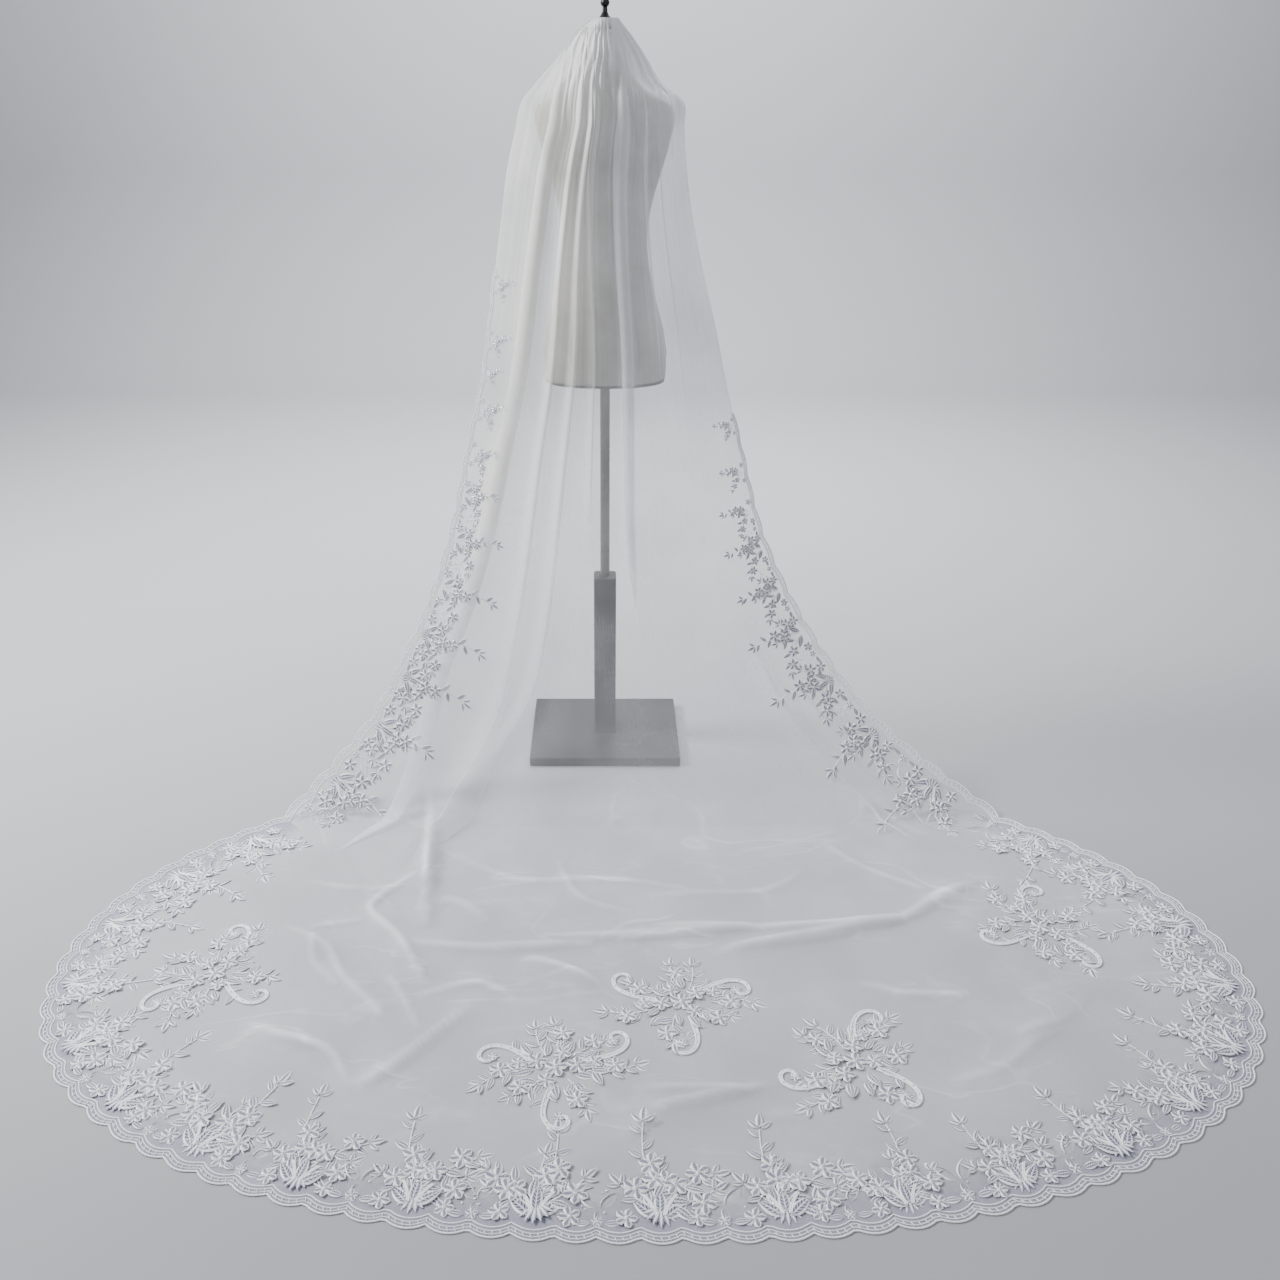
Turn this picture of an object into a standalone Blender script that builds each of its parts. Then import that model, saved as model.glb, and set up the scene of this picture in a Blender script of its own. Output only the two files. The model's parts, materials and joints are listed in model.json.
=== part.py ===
# Bridal veil with a lace border, gathered on a comb and spread over a limbless dress form.
# Metres, +Z up. The origin is on the floor under the stand's pole. +X is to the right as the
# back of the form is looked at, and the train runs out towards -Y.

import math

import bpy
import numpy as np
from mathutils import Vector
from mathutils.geometry import delaunay_2d_cdt

# Clearances and cloth
SEAM = 0.0003
TULLE = 0.0012
LACE = 0.0014
SIDE_LIFT = 0.0010
COLUMNS = 48
SPLIT_COLUMNS = (12, 36)
TRAIN_ROWS = 14
GATHERS = 12

# Stand
BASE_WIDTH = 0.400
BASE_DEPTH = 0.340
BASE_THICK = 0.025
BASE_BEVEL = 0.003
SLEEVE_WIDTH = 0.058
SLEEVE_WALL = 0.004
SLEEVE_TOP = 0.470
SLEEVE_BEVEL = 0.003
COLLAR_THICK = 0.012
POLE_RADIUS = 0.012
POLE_FOOT = 0.120
BOARD_THICK = 0.006
TORSO_BOTTOM = 1.000
NECK_TOP = 1.7350
NECK_CAP_RADIUS = 0.050
NECK_CAP_THICK = 0.0120

# Torso sections: height, half width, front depth, back depth
TORSO_SECTIONS = (
    (1.000, 0.147, 0.112, 0.108),
    (1.050, 0.150, 0.112, 0.112),
    (1.110, 0.140, 0.102, 0.108),
    (1.180, 0.121, 0.090, 0.094),
    (1.260, 0.102, 0.082, 0.080),
    (1.330, 0.095, 0.081, 0.074),
    (1.400, 0.108, 0.094, 0.078),
    (1.460, 0.128, 0.110, 0.085),
    (1.510, 0.143, 0.108, 0.090),
    (1.550, 0.153, 0.092, 0.088),
    (1.580, 0.158, 0.074, 0.078),
    (1.600, 0.146, 0.060, 0.066),
    (1.620, 0.105, 0.052, 0.058),
    (1.640, 0.072, 0.048, 0.053),
    (1.665, 0.052, 0.046, 0.048),
    (1.700, 0.046, 0.045, 0.045),
    (1.735, 0.046, 0.046, 0.046),
)
TORSO_SIDES = 28
TORSO_SQUARENESS = 2.3
BUST_HEIGHT = 1.470
BUST_SPREAD = 0.062
BUST_APART = 0.068
BUST_RISE = 0.024

# Comb
COMB_RADIUS = 0.0503
COMB_THICK = 0.0018
COMB_WIDTH = 0.078
COMB_TEETH = 12
COMB_TOP = 1.7440
COMB_SPINE = 0.008
COMB_TOOTH = 0.034

# Veil sections from the gathers to the floor:
# height, left edge x, right edge x, depth of both edges y, depth of the middle y, gather depth
VEIL_SECTIONS = (
    (1.7640, -0.024, 0.028, -0.046, -0.058, 0.0010),
    (1.7480, -0.048, 0.042, -0.040, -0.062, 0.0025),
    (1.7260, -0.073, 0.062, -0.028, -0.068, 0.0040),
    (1.6900, -0.100, 0.089, -0.016, -0.084, 0.0060),
    (1.6400, -0.150, 0.124, -0.006, -0.106, 0.0060),
    (1.6020, -0.184, 0.174, -0.002, -0.120, 0.0050),
    (1.5490, -0.198, 0.176, -0.004, -0.130, 0.0040),
    (1.4630, -0.220, 0.184, -0.011, -0.138, 0.0030),
    (1.3660, -0.235, 0.199, -0.020, -0.143, 0.0020),
    (1.2500, -0.254, 0.226, -0.032, -0.149, 0.0010),
    (1.1210, -0.272, 0.260, -0.049, -0.155, 0.0),
    (1.0000, -0.292, 0.288, -0.065, -0.161, 0.0),
    (0.8300, -0.333, 0.332, -0.092, -0.174, 0.0),
    (0.6440, -0.376, 0.384, -0.126, -0.194, 0.0),
    (0.4720, -0.436, 0.467, -0.164, -0.222, 0.0),
    (0.3190, -0.512, 0.568, -0.212, -0.258, 0.0),
    (0.2100, -0.574, 0.664, -0.258, -0.296, 0.0),
    (0.1300, -0.644, 0.762, -0.304, -0.334, 0.0),
    (0.0650, -0.712, 0.860, -0.348, -0.374, 0.0),
    (0.0200, -0.764, 0.940, -0.388, -0.414, 0.0),
    (0.0000, -0.793, 0.973, -0.420, -0.450, 0.0),
)
WRAP = 2.2

# Large folds of the drop:
# place across at the shoulder, place across at the floor (-1 left edge, 1 right edge),
# top height, foot height, depth, half width as a share of the half width of the veil
FOLDS = (
    (-0.49, -0.80, 1.70, -0.20, 0.020, 0.085),
    (-0.28, -0.66, 1.68, 0.30, 0.015, 0.050),
    (-0.12, -0.50, 1.70, 0.30, 0.017, 0.050),
    (-0.16, -0.42, 1.10, -0.20, 0.015, 0.050),
    (-0.04, -0.15, 1.72, 0.80, 0.011, 0.050),
    (0.225, 0.13, 1.72, 0.75, 0.013, 0.055),
    (0.49, 0.10, 1.70, 0.85, 0.011, 0.055),
    (0.66, 0.62, 1.62, 0.55, 0.008, 0.060),
    (0.80, 0.64, 0.46, -0.20, 0.014, 0.050),
    (0.92, 0.74, 0.40, -0.20, 0.012, 0.045),
)
FOLD_FADE = 0.20
FOLD_RUN_OUT = 0.30

# Train: a rounded outline through its half width, front and back
TRAIN_CENTRE = (0.090, -0.920)
TRAIN_HALF_WIDTH = 1.200
TRAIN_FRONT = 0.651
TRAIN_BACK = 0.738
TRAIN_ROUND_FRONT = 2.2
TRAIN_ROUND_BACK = 2.0
TRAIN_FOOT_RISE = 0.500
TRAIN_SIDE_ANGLE = math.radians(32)
TRAIN_LENGTH = 1.13

# Ridges of the train: start x, start y, end x, end y, height, half width
RIDGES = (
    (-0.94, -0.75, -0.50, -0.42, 0.014, 0.045),
    (-0.45, -0.46, -0.38, -0.82, 0.026, 0.040),
    (-0.48, -0.80, -0.35, -1.05, 0.014, 0.045),
    (-0.57, -1.16, -0.45, -1.26, 0.018, 0.045),
    (-0.45, -1.26, -0.26, -1.10, 0.016, 0.045),
    (-0.30, -0.89, 0.00, -0.88, 0.012, 0.040),
    (0.06, -0.84, 0.36, -0.80, 0.012, 0.040),
    (0.36, -0.90, 0.66, -0.80, 0.014, 0.042),
    (0.66, -0.80, 0.84, -0.68, 0.012, 0.040),
    (-0.17, -0.93, -0.02, -1.02, 0.016, 0.040),
    (0.10, -1.28, 0.24, -1.27, 0.014, 0.040),
    (0.76, -1.14, 0.94, -1.02, 0.015, 0.042),
    (0.20, -0.55, 0.34, -0.72, 0.010, 0.045),
    (-0.12, -0.56, -0.16, -0.76, 0.012, 0.042),
)
FLAT_HEM = 0.21
FLAT_MOTIF = 0.20
FLAT_FADE = 0.07

# Lace of the hem, one repeat
HEM_REPEATS = 17
SCALLOPS = 3
SCALLOP_RISE = 0.012
HEM_BAND = 0.078
HEM_START_SLOPE = 0.08
HEM_TURN_IN = 0.35
HEM_INSET = 0.030
# place along the repeat, lean, length, width, curl, points a side
HEM_SPRAYS = (
    (0.17, -0.35, 0.070, 0.025, -0.3, 2),
    (0.31, -0.18, 0.092, 0.025, 0.0, 2),
    (0.45, 0.05, 0.108, 0.030, 0.1, 2),
    (0.60, 0.28, 0.082, 0.026, 0.3, 2),
    (0.82, -0.05, 0.044, 0.022, 0.0, 1),
    (0.94, 0.25, 0.048, 0.022, 0.0, 1),
)
# place along the repeat, distance from the edge, half length, half width, turn
HEM_GAPS = (
    (0.20, 0.046, 0.015, 0.007, 0.5),
    (0.50, 0.050, 0.017, 0.008, -0.4),
    (0.83, 0.044, 0.016, 0.007, 0.3),
)

# Lace of the side edges
SIDE_REPEAT = 0.160
SIDE_SCALLOPS = 2
LEFT_LACE_TOP = 1.230
RIGHT_LACE_TOP = 0.730
SIDE_BAND = (0.016, 0.066)
SIDE_GROW = (0.45, 1.0)
SIDE_SPRAYS = (
    (0.34, -0.55, 0.060, 0.022, -0.8, 2),
    (0.66, 0.10, 0.078, 0.024, -0.6, 2),
)
SIDE_GAP = (0.52, 0.55, 0.016, 0.010, 0.2)

# Leaves by points a side: place along the leaf, share of its full width. Then the cords
LEAF_STOPS = {1: ((0.0, 0.40), (0.5, 1.0)), 2: ((0.0, 0.35), (0.36, 1.0), (0.72, 0.72))}
CORD_TAPER = 0.35
CORD_END = 0.55

# Large motifs on the train: middle x, middle y, turn, size
MOTIFS = (
    (0.15, -1.055, 0.35, 1.00),
    (-0.09, -1.225, -0.10, 1.00),
    (0.46, -1.210, 1.15, 1.00),
    (-0.79, -0.975, 0.85, 1.00),
    (0.93, -0.830, -0.95, 1.00),
)
MOTIF_HUB = (0.052, 0.060)
# angle in degrees, length, width, curl, points a side
MOTIF_ARMS = (
    (0, 0.058, 0.026, 0.3, 2),
    (28, 0.130, 0.012, 3.9, 6),
    (84, 0.060, 0.028, -0.2, 2),
    (112, 0.078, 0.026, 0.3, 2),
    (140, 0.056, 0.026, 0.0, 2),
    (164, 0.125, 0.012, 3.8, 6),
    (218, 0.060, 0.026, 0.2, 2),
    (246, 0.056, 0.026, -0.2, 2),
    (270, 0.128, 0.012, 3.9, 6),
    (328, 0.066, 0.028, 0.0, 2),
)
# angle in degrees, distance, half length, half width
MOTIF_GAPS = (
    (20, 0.026, 0.012, 0.006),
    (112, 0.030, 0.013, 0.006),
    (200, 0.027, 0.012, 0.006),
    (292, 0.030, 0.013, 0.006),
)

# Colours as linear values: red, green, blue, roughness, metallic
LOOKS = {
    "tulle": (0.86, 0.86, 0.88, 0.80, 0.0),
    "lace": (0.80, 0.79, 0.86, 0.55, 0.0),
    "form_cloth": (0.66, 0.65, 0.60, 0.85, 0.0),
    "board": (0.10, 0.09, 0.09, 0.60, 0.0),
    "steel": (0.42, 0.42, 0.41, 0.38, 1.0),
    "painted": (0.20, 0.19, 0.19, 0.45, 0.6),
    "black": (0.015, 0.015, 0.016, 0.35, 0.0),
    "comb": (0.70, 0.70, 0.72, 0.25, 0.0),
}


def clear_scene():
    for thing in list(bpy.data.objects):
        bpy.data.objects.remove(thing, do_unlink=True)


def finish_for(look):
    material = bpy.data.materials.get(look)
    if material:
        return material
    red, green, blue, roughness, metallic = LOOKS[look]
    material = bpy.data.materials.new(look)
    material.use_nodes = True
    shader = material.node_tree.nodes["Principled BSDF"]
    shader.inputs["Base Color"].default_value = (red, green, blue, 1.0)
    shader.inputs["Roughness"].default_value = roughness
    shader.inputs["Metallic"].default_value = metallic
    return material


def add_piece(name, points, faces, look, smooth_angle=None):
    mesh = bpy.data.meshes.new(name)
    mesh.from_pydata([tuple(p) for p in points], [], faces)
    mesh.validate()
    mesh.materials.append(finish_for(look))
    piece = bpy.data.objects.new(name, mesh)
    bpy.context.scene.collection.objects.link(piece)
    if smooth_angle is not None:
        mesh.shade_smooth()
        mesh.set_sharp_from_angle(angle=smooth_angle)
    return piece


# Stand and form


def add_block(name, size, middle, bevel, look):
    half = [side / 2 for side in size]
    signs = [(x, y, z) for z in (-1, 1) for y in (-1, 1) for x in (-1, 1)]
    points = [[m + s * h for m, s, h in zip(middle, sign, half)] for sign in signs]
    faces = [(0, 2, 3, 1), (4, 5, 7, 6), (0, 1, 5, 4), (2, 6, 7, 3), (0, 4, 6, 2), (1, 3, 7, 5)]
    block = add_piece(name, points, faces, look)
    rounding = block.modifiers.new("rounding", "BEVEL")
    rounding.width = bevel
    rounding.segments = 2
    return block


def add_turned(name, profile, sides, look):
    """A turned solid from rows of (radius, height), bottom to top, closed by flat ends."""
    points = []
    for radius, height in profile:
        for side in range(sides):
            angle = math.tau * side / sides
            points.append((radius * math.cos(angle), radius * math.sin(angle), height))
    faces = [tuple(reversed(range(sides)))]
    for ring in range(len(profile) - 1):
        for side in range(sides):
            a = ring * sides + side
            b = ring * sides + (side + 1) % sides
            faces.append((a, b, b + sides, a + sides))
    top = (len(profile) - 1) * sides
    faces.append(tuple(range(top, top + sides)))
    return add_piece(name, points, faces, look, math.radians(40))


def square_ring(half, corner, height):
    """Eight points round a square with cut corners."""
    cut = half - corner
    flat = ((half, -cut), (half, cut), (cut, half), (-cut, half))
    return [(x, y, height) for x, y in flat] + [(-x, -y, height) for x, y in flat]


def add_sleeve():
    """The square sleeve, open at both ends, that stands on the base plate."""
    outer = SLEEVE_WIDTH / 2
    inner = outer - SLEEVE_WALL
    foot = BASE_THICK + SEAM
    rings = [
        square_ring(outer, SLEEVE_BEVEL, foot),
        square_ring(outer, SLEEVE_BEVEL, SLEEVE_TOP),
        square_ring(inner, SLEEVE_BEVEL / 2, SLEEVE_TOP),
        square_ring(inner, SLEEVE_BEVEL / 2, foot),
    ]
    count = len(rings[0])
    points = [p for ring in rings for p in ring]
    faces = []
    for ring in range(4):
        for side in range(count):
            after = (side + 1) % count
            low, high = ring * count, (ring + 1) % 4 * count
            faces.append((low + side, low + after, high + after, high + side))
    return add_piece("post_sleeve", points, faces, "painted")


def add_collar():
    """The square collar with a round hole that closes the sleeve's top round the pole."""
    hole = POLE_RADIUS + SEAM
    outer = SLEEVE_WIDTH / 2
    low = SLEEVE_TOP + SEAM
    high = low + COLLAR_THICK
    sides = 24
    corner = 1.34
    rings = []
    for square, height in ((True, low), (True, high), (False, high), (False, low)):
        ring = []
        for side in range(sides):
            angle = math.tau * (side + 0.5) / sides
            reach = hole
            if square:
                reach = outer / max(abs(math.cos(angle)), abs(math.sin(angle)))
                reach = min(reach, outer * corner)
            ring.append((reach * math.cos(angle), reach * math.sin(angle), height))
        rings.append(ring)
    points = [p for ring in rings for p in ring]
    faces = []
    for ring in range(4):
        low_start, high_start = ring * sides, (ring + 1) % 4 * sides
        for side in range(sides):
            after = (side + 1) % sides
            near, far = low_start + side, low_start + after
            faces.append((near, far, high_start + after, high_start + side))
    return add_piece("sleeve_collar", points, faces, "painted", math.radians(40))


def torso_point(section, side):
    height, half_width, front, back = section
    angle = math.tau * side / TORSO_SIDES
    power = 2 / TORSO_SQUARENESS
    across = math.copysign(abs(math.cos(angle)) ** power, math.cos(angle))
    along = math.copysign(abs(math.sin(angle)) ** power, math.sin(angle))
    x = half_width * across
    y = (front if along > 0 else back) * along
    if along > 0:
        swell = math.exp(-(((height - BUST_HEIGHT) / BUST_SPREAD) ** 2))
        lobe = math.exp(-(((abs(x) - BUST_APART) / BUST_SPREAD) ** 2))
        y += BUST_RISE * swell * lobe * along
    return (x, y, height)


def add_torso():
    points = [torso_point(s, side) for s in TORSO_SECTIONS for side in range(TORSO_SIDES)]
    faces = [tuple(reversed(range(TORSO_SIDES)))]
    for ring in range(len(TORSO_SECTIONS) - 1):
        for side in range(TORSO_SIDES):
            a = ring * TORSO_SIDES + side
            b = ring * TORSO_SIDES + (side + 1) % TORSO_SIDES
            faces.append((a, b, b + TORSO_SIDES, a + TORSO_SIDES))
    top = (len(TORSO_SECTIONS) - 1) * TORSO_SIDES
    faces.append(tuple(range(top, top + TORSO_SIDES)))
    return add_piece("torso", points, faces, "form_cloth", math.radians(50))


def add_bottom_board():
    """The dark board under the torso, with the torso's outline a little smaller."""
    high = TORSO_BOTTOM - SEAM
    low = high - BOARD_THICK
    shrink = 0.985
    points = []
    for height in (low, high):
        for side in range(TORSO_SIDES):
            x, y, _ = torso_point(TORSO_SECTIONS[0], side)
            points.append((x * shrink, y * shrink, height))
    faces = [tuple(reversed(range(TORSO_SIDES))), tuple(range(TORSO_SIDES, 2 * TORSO_SIDES))]
    for side in range(TORSO_SIDES):
        after = (side + 1) % TORSO_SIDES
        faces.append((side, after, after + TORSO_SIDES, side + TORSO_SIDES))
    return add_piece("bottom_board", points, faces, "board")


def add_neck_cap():
    low = NECK_TOP + SEAM
    high = low + NECK_CAP_THICK
    round_over = 0.004
    profile = (
        (NECK_CAP_RADIUS - round_over / 2, low),
        (NECK_CAP_RADIUS, low + round_over / 2),
        (NECK_CAP_RADIUS, high - round_over),
        (NECK_CAP_RADIUS - round_over, high),
    )
    return add_turned("neck_cap", profile, 24, "black")


def add_finial():
    """The turned knob on the neck cap: a bell foot, a thin stem and a ball with a tip."""
    foot = NECK_TOP + SEAM + NECK_CAP_THICK + SEAM
    bell = ((0.0175, 0.0), (0.0175, 0.008), (0.0150, 0.018), (0.0085, 0.026), (0.0056, 0.031))
    stem = (0.0052, 0.039)
    ball_middle, ball_radius = 0.0485, 0.0098
    ball = []
    for step in range(1, 6):
        angle = math.pi * step / 6 - math.pi / 2
        ball.append((ball_radius * math.cos(angle), ball_middle + ball_radius * math.sin(angle)))
    tip = ((0.0030, ball_middle + ball_radius + 0.001), (0.0018, ball_middle + ball_radius + 0.003))
    profile = [(radius, foot + rise) for radius, rise in (*bell, stem, *ball, *tip)]
    return add_turned("finial", profile, 16, "black")


def add_comb():
    """A curved hair comb against the back of the neck cap, its teeth pointing down."""
    spread = COMB_WIDTH / COMB_RADIUS
    pitch = spread / COMB_TEETH
    flat = []
    for tooth in range(COMB_TEETH):
        left = -spread / 2 + tooth * pitch
        low = COMB_TOP - COMB_SPINE - COMB_TOOTH
        flat += [(left + 0.25 * pitch, COMB_TOP - COMB_SPINE), (left + 0.36 * pitch, low)]
        flat += [(left + 0.64 * pitch, low), (left + 0.75 * pitch, COMB_TOP - COMB_SPINE)]
    flat = [(-spread / 2, COMB_TOP - COMB_SPINE)] + flat + [(spread / 2, COMB_TOP - COMB_SPINE)]
    top = [(spread / 2 - spread * step / COMB_TEETH, COMB_TOP) for step in range(COMB_TEETH + 1)]

    def on_neck(angle, height):
        facing = Vector((math.sin(angle), -math.cos(angle), 0.0))
        return Vector((0.0, 0.0, height)) + facing * COMB_RADIUS, facing

    return add_plate("comb", flat + top, [], [], on_neck, COMB_THICK, "comb")


# Flat shapes with gaps, laid on a surface


def inside(polygon, x, y):
    hit = False
    before = polygon[-1]
    for point in polygon:
        if (point[1] > y) != (before[1] > y):
            edge_x = point[0] + (y - point[1]) * (before[0] - point[0]) / (before[1] - point[1])
            hit = hit != (x < edge_x)
        before = point
    return hit


def add_plate(name, outline, gaps, creases, place, thick, look):
    """A plate with the outline and the gaps, bent along the creases, on place(s, d) -> point, normal."""
    flat, edges = [], []
    for loop in [outline, *gaps]:
        start = len(flat)
        flat += loop
        edges += [(start + i, start + (i + 1) % len(loop)) for i in range(len(loop))]
    for a, b in creases:
        edges.append((len(flat), len(flat) + 1))
        flat += [a, b]
    coords, _, triangles, *_ = delaunay_2d_cdt([Vector(p) for p in flat], edges, [], 0, 1e-6)
    kept = []
    for triangle in triangles:
        x = sum(coords[i].x for i in triangle) / 3
        y = sum(coords[i].y for i in triangle) / 3
        if inside(outline, x, y) and not any(inside(gap, x, y) for gap in gaps):
            kept.append(tuple(triangle))
    used = sorted({i for triangle in kept for i in triangle})
    number = {old: new for new, old in enumerate(used)}
    kept = [tuple(number[i] for i in triangle) for triangle in kept]
    placed = [place(coords[i].x, coords[i].y) for i in used]
    count = len(used)
    points = [p for p, _ in placed] + [p + n * thick for p, n in placed]
    rim = {}
    for a, b, c in kept:
        for edge in ((a, b), (b, c), (c, a)):
            if (edge[1], edge[0]) in rim:
                del rim[(edge[1], edge[0])]
            else:
                rim[edge] = True
    faces = [(c, b, a) for a, b, c in kept]
    faces += [(a + count, b + count, c + count) for a, b, c in kept]
    faces += [(a, b, b + count, a + count) for a, b in rim]
    a, b, c = (placed[i][0] for i in kept[0])
    if (b - a).cross(c - a).dot(placed[kept[0][0]][1]) < 0:
        faces = [tuple(reversed(face)) for face in faces]
    return add_piece(name, points, faces, look)


def arm_outline(root, along, out, lean, length, width, curl, steps):
    """Points out one side of a leaf or scroll and back down the other, from root in the
    directions along and out. A few steps make a leaf, more make a cord that curls up."""
    stops = LEAF_STOPS.get(steps)
    if stops is None:
        stops = [(step / (steps + 0.4), 1.0 - CORD_TAPER * step / steps) for step in range(steps)]
        stops.append((steps / (steps + 0.4), CORD_END))
    first, second = [], []

    def middle(amount):
        a, b, pieces = 0.0, 0.0, 24
        for piece in range(pieces):
            t = amount * (piece + 0.5) / pieces
            heading = lean + curl * t * t
            a += math.sin(heading) * length * amount / pieces
            b += math.cos(heading) * length * amount / pieces
        return a, b, lean + curl * amount * amount

    for stop, part in stops:
        a, b, heading = middle(stop)
        half = width * part / 2
        side_a, side_b = math.cos(heading) * half, -math.sin(heading) * half
        first.append((a - side_a, b - side_b))
        second.append((a + side_a, b + side_b))
    tip_a, tip_b, _ = middle(1.0)
    local = first + [(tip_a, tip_b)] + second[::-1]
    return [(root[0] + a * along[0] + b * out[0], root[1] + a * along[1] + b * out[1]) for a, b in local]


def gap_outline(x, y, half_length, half_width, turn):
    """A pointed gap of four points."""
    cos, sin = math.cos(turn), math.sin(turn)
    local = ((-half_length, 0.0), (0.0, -half_width), (half_length, 0.0), (0.0, half_width))
    return [(x + a * cos - b * sin, y + a * sin + b * cos) for a, b in local]


# The veil's surface


def train_edge(angle):
    """A point of the train's outline. 0 degrees is its right end, 270 the front."""
    cos, sin = math.cos(angle), math.sin(angle)
    front = sin < 0
    power = 2 / (TRAIN_ROUND_FRONT if front else TRAIN_ROUND_BACK)
    deep = TRAIN_FRONT if front else TRAIN_BACK
    x = TRAIN_HALF_WIDTH * math.copysign(abs(cos) ** power, cos)
    y = deep * math.copysign(abs(sin) ** power, sin)
    return TRAIN_CENTRE[0] + x, TRAIN_CENTRE[1] + y


FOOT_ANGLE = math.asin(TRAIN_FOOT_RISE / TRAIN_BACK)
LEFT_FOOT = math.pi - FOOT_ANGLE
RIGHT_FOOT = math.tau + FOOT_ANGLE


def fade(value, start, width):
    t = min(max((value - start) / width, 0.0), 1.0)
    return t * t * (3 - 2 * t)


def base_surface():
    """Points of the smooth veil, row by row from the gathers to the train's hem."""
    rows = []
    for height, left, right, edge_y, middle_y, _ in VEIL_SECTIONS:
        row = []
        for column in range(COLUMNS + 1):
            across = 2 * column / COLUMNS - 1
            x = left + (right - left) * (across + 1) / 2
            y = middle_y + (edge_y - middle_y) * abs(across) ** WRAP
            row.append((x, y, height + TULLE / 2))
        rows.append(row)
    back = [(x, y) for x, y, _ in rows[-1]]
    back[0], back[-1] = train_edge(LEFT_FOOT), train_edge(RIGHT_FOOT)
    rows[-1] = [(x, y, TULLE / 2) for x, y in back]
    hem_start = LEFT_FOOT + TRAIN_SIDE_ANGLE
    hem_end = RIGHT_FOOT - TRAIN_SIDE_ANGLE
    hem = [train_edge(hem_start + (hem_end - hem_start) * c / COLUMNS) for c in range(COLUMNS + 1)]
    for step in range(1, TRAIN_ROWS + 1):
        w = step / TRAIN_ROWS
        left = train_edge(LEFT_FOOT + TRAIN_SIDE_ANGLE * w)
        right = train_edge(RIGHT_FOOT - TRAIN_SIDE_ANGLE * w)
        row = []
        for column in range(COLUMNS + 1):
            q = column / COLUMNS
            point = []
            for axis in range(2):
                ruled = (1 - w) * back[column][axis] + w * hem[column][axis]
                ruled += (1 - q) * left[axis] + q * right[axis]
                ruled -= (1 - q) * ((1 - w) * back[0][axis] + w * hem[0][axis])
                ruled -= q * ((1 - w) * back[-1][axis] + w * hem[-1][axis])
                point.append(ruled)
            row.append((*point, TULLE / 2))
        rows.append(row)
    return np.array(rows)


def surface_normals(grid):
    across = np.gradient(grid, axis=1)
    down = np.gradient(grid, axis=0)
    normals = np.cross(down, across)
    normals /= np.linalg.norm(normals, axis=2, keepdims=True)
    normals[len(VEIL_SECTIONS) - 1 :] = (0.0, 0.0, 1.0)
    return normals


def fold_depth(across, height, run_out):
    """How far the large folds stand out at a place on the drop, or run_out along the train."""
    depth = 0.0
    for high, low, top, foot, full, half_width in FOLDS:
        middle = high + (low - high) * (1 - height / 1.6)
        strength = fade(top - height, 0.0, FOLD_FADE) * fade(height - foot, 0.0, FOLD_FADE)
        strength *= 1 - fade(run_out, 0.0, FOLD_RUN_OUT)
        depth += full * strength * math.exp(-(((across - middle) / half_width) ** 2))
    return depth


def ridge_height(x, y):
    """Height of the train's ridges at a place on the floor."""
    height = 0.0
    for x0, y0, x1, y1, full, half_width in RIDGES:
        run = (x1 - x0) ** 2 + (y1 - y0) ** 2
        t = min(max(((x - x0) * (x1 - x0) + (y - y0) * (y1 - y0)) / run, 0.0), 1.0)
        away = math.hypot(x - x0 - t * (x1 - x0), y - y0 - t * (y1 - y0))
        height = max(height, full * math.exp(-((away / half_width) ** 2)))
    return height


def looseness(x, y):
    """0 where the heavy lace of the hem and the motifs holds the train flat, 1 away from it."""
    dx = (x - TRAIN_CENTRE[0]) / TRAIN_HALF_WIDTH
    dy = (y - TRAIN_CENTRE[1]) / (TRAIN_FRONT if y < TRAIN_CENTRE[1] else TRAIN_BACK)
    in_from_edge = (1 - math.hypot(dx, dy)) * TRAIN_FRONT
    loose = fade(in_from_edge, FLAT_HEM, FLAT_FADE)
    for middle_x, middle_y, _, size in MOTIFS:
        away = math.hypot(x - middle_x, y - middle_y)
        loose *= fade(away, FLAT_MOTIF * size, FLAT_FADE)
    return loose


def veil_surface():
    """The middle of the tulle with its gathers, folds and ridges, and its normals."""
    grid = base_surface()
    normals = surface_normals(grid)
    last_section = len(VEIL_SECTIONS) - 1
    for row in range(grid.shape[0]):
        height = VEIL_SECTIONS[min(row, last_section)][0]
        gather = VEIL_SECTIONS[min(row, last_section)][5]
        run_out = max(row - last_section, 0) / TRAIN_ROWS * TRAIN_LENGTH
        for column in range(COLUMNS + 1):
            across = 2 * column / COLUMNS - 1
            out = fold_depth(across, height, run_out)
            out += gather * (0.5 - 0.5 * math.cos(math.tau * GATHERS * column / COLUMNS))
            if row >= last_section:
                x, y = grid[row, column, :2]
                out = max(out, ridge_height(x, y)) * looseness(x, y)
            grid[row, column] += normals[row, column] * out
    return grid, surface_normals(grid)


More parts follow.
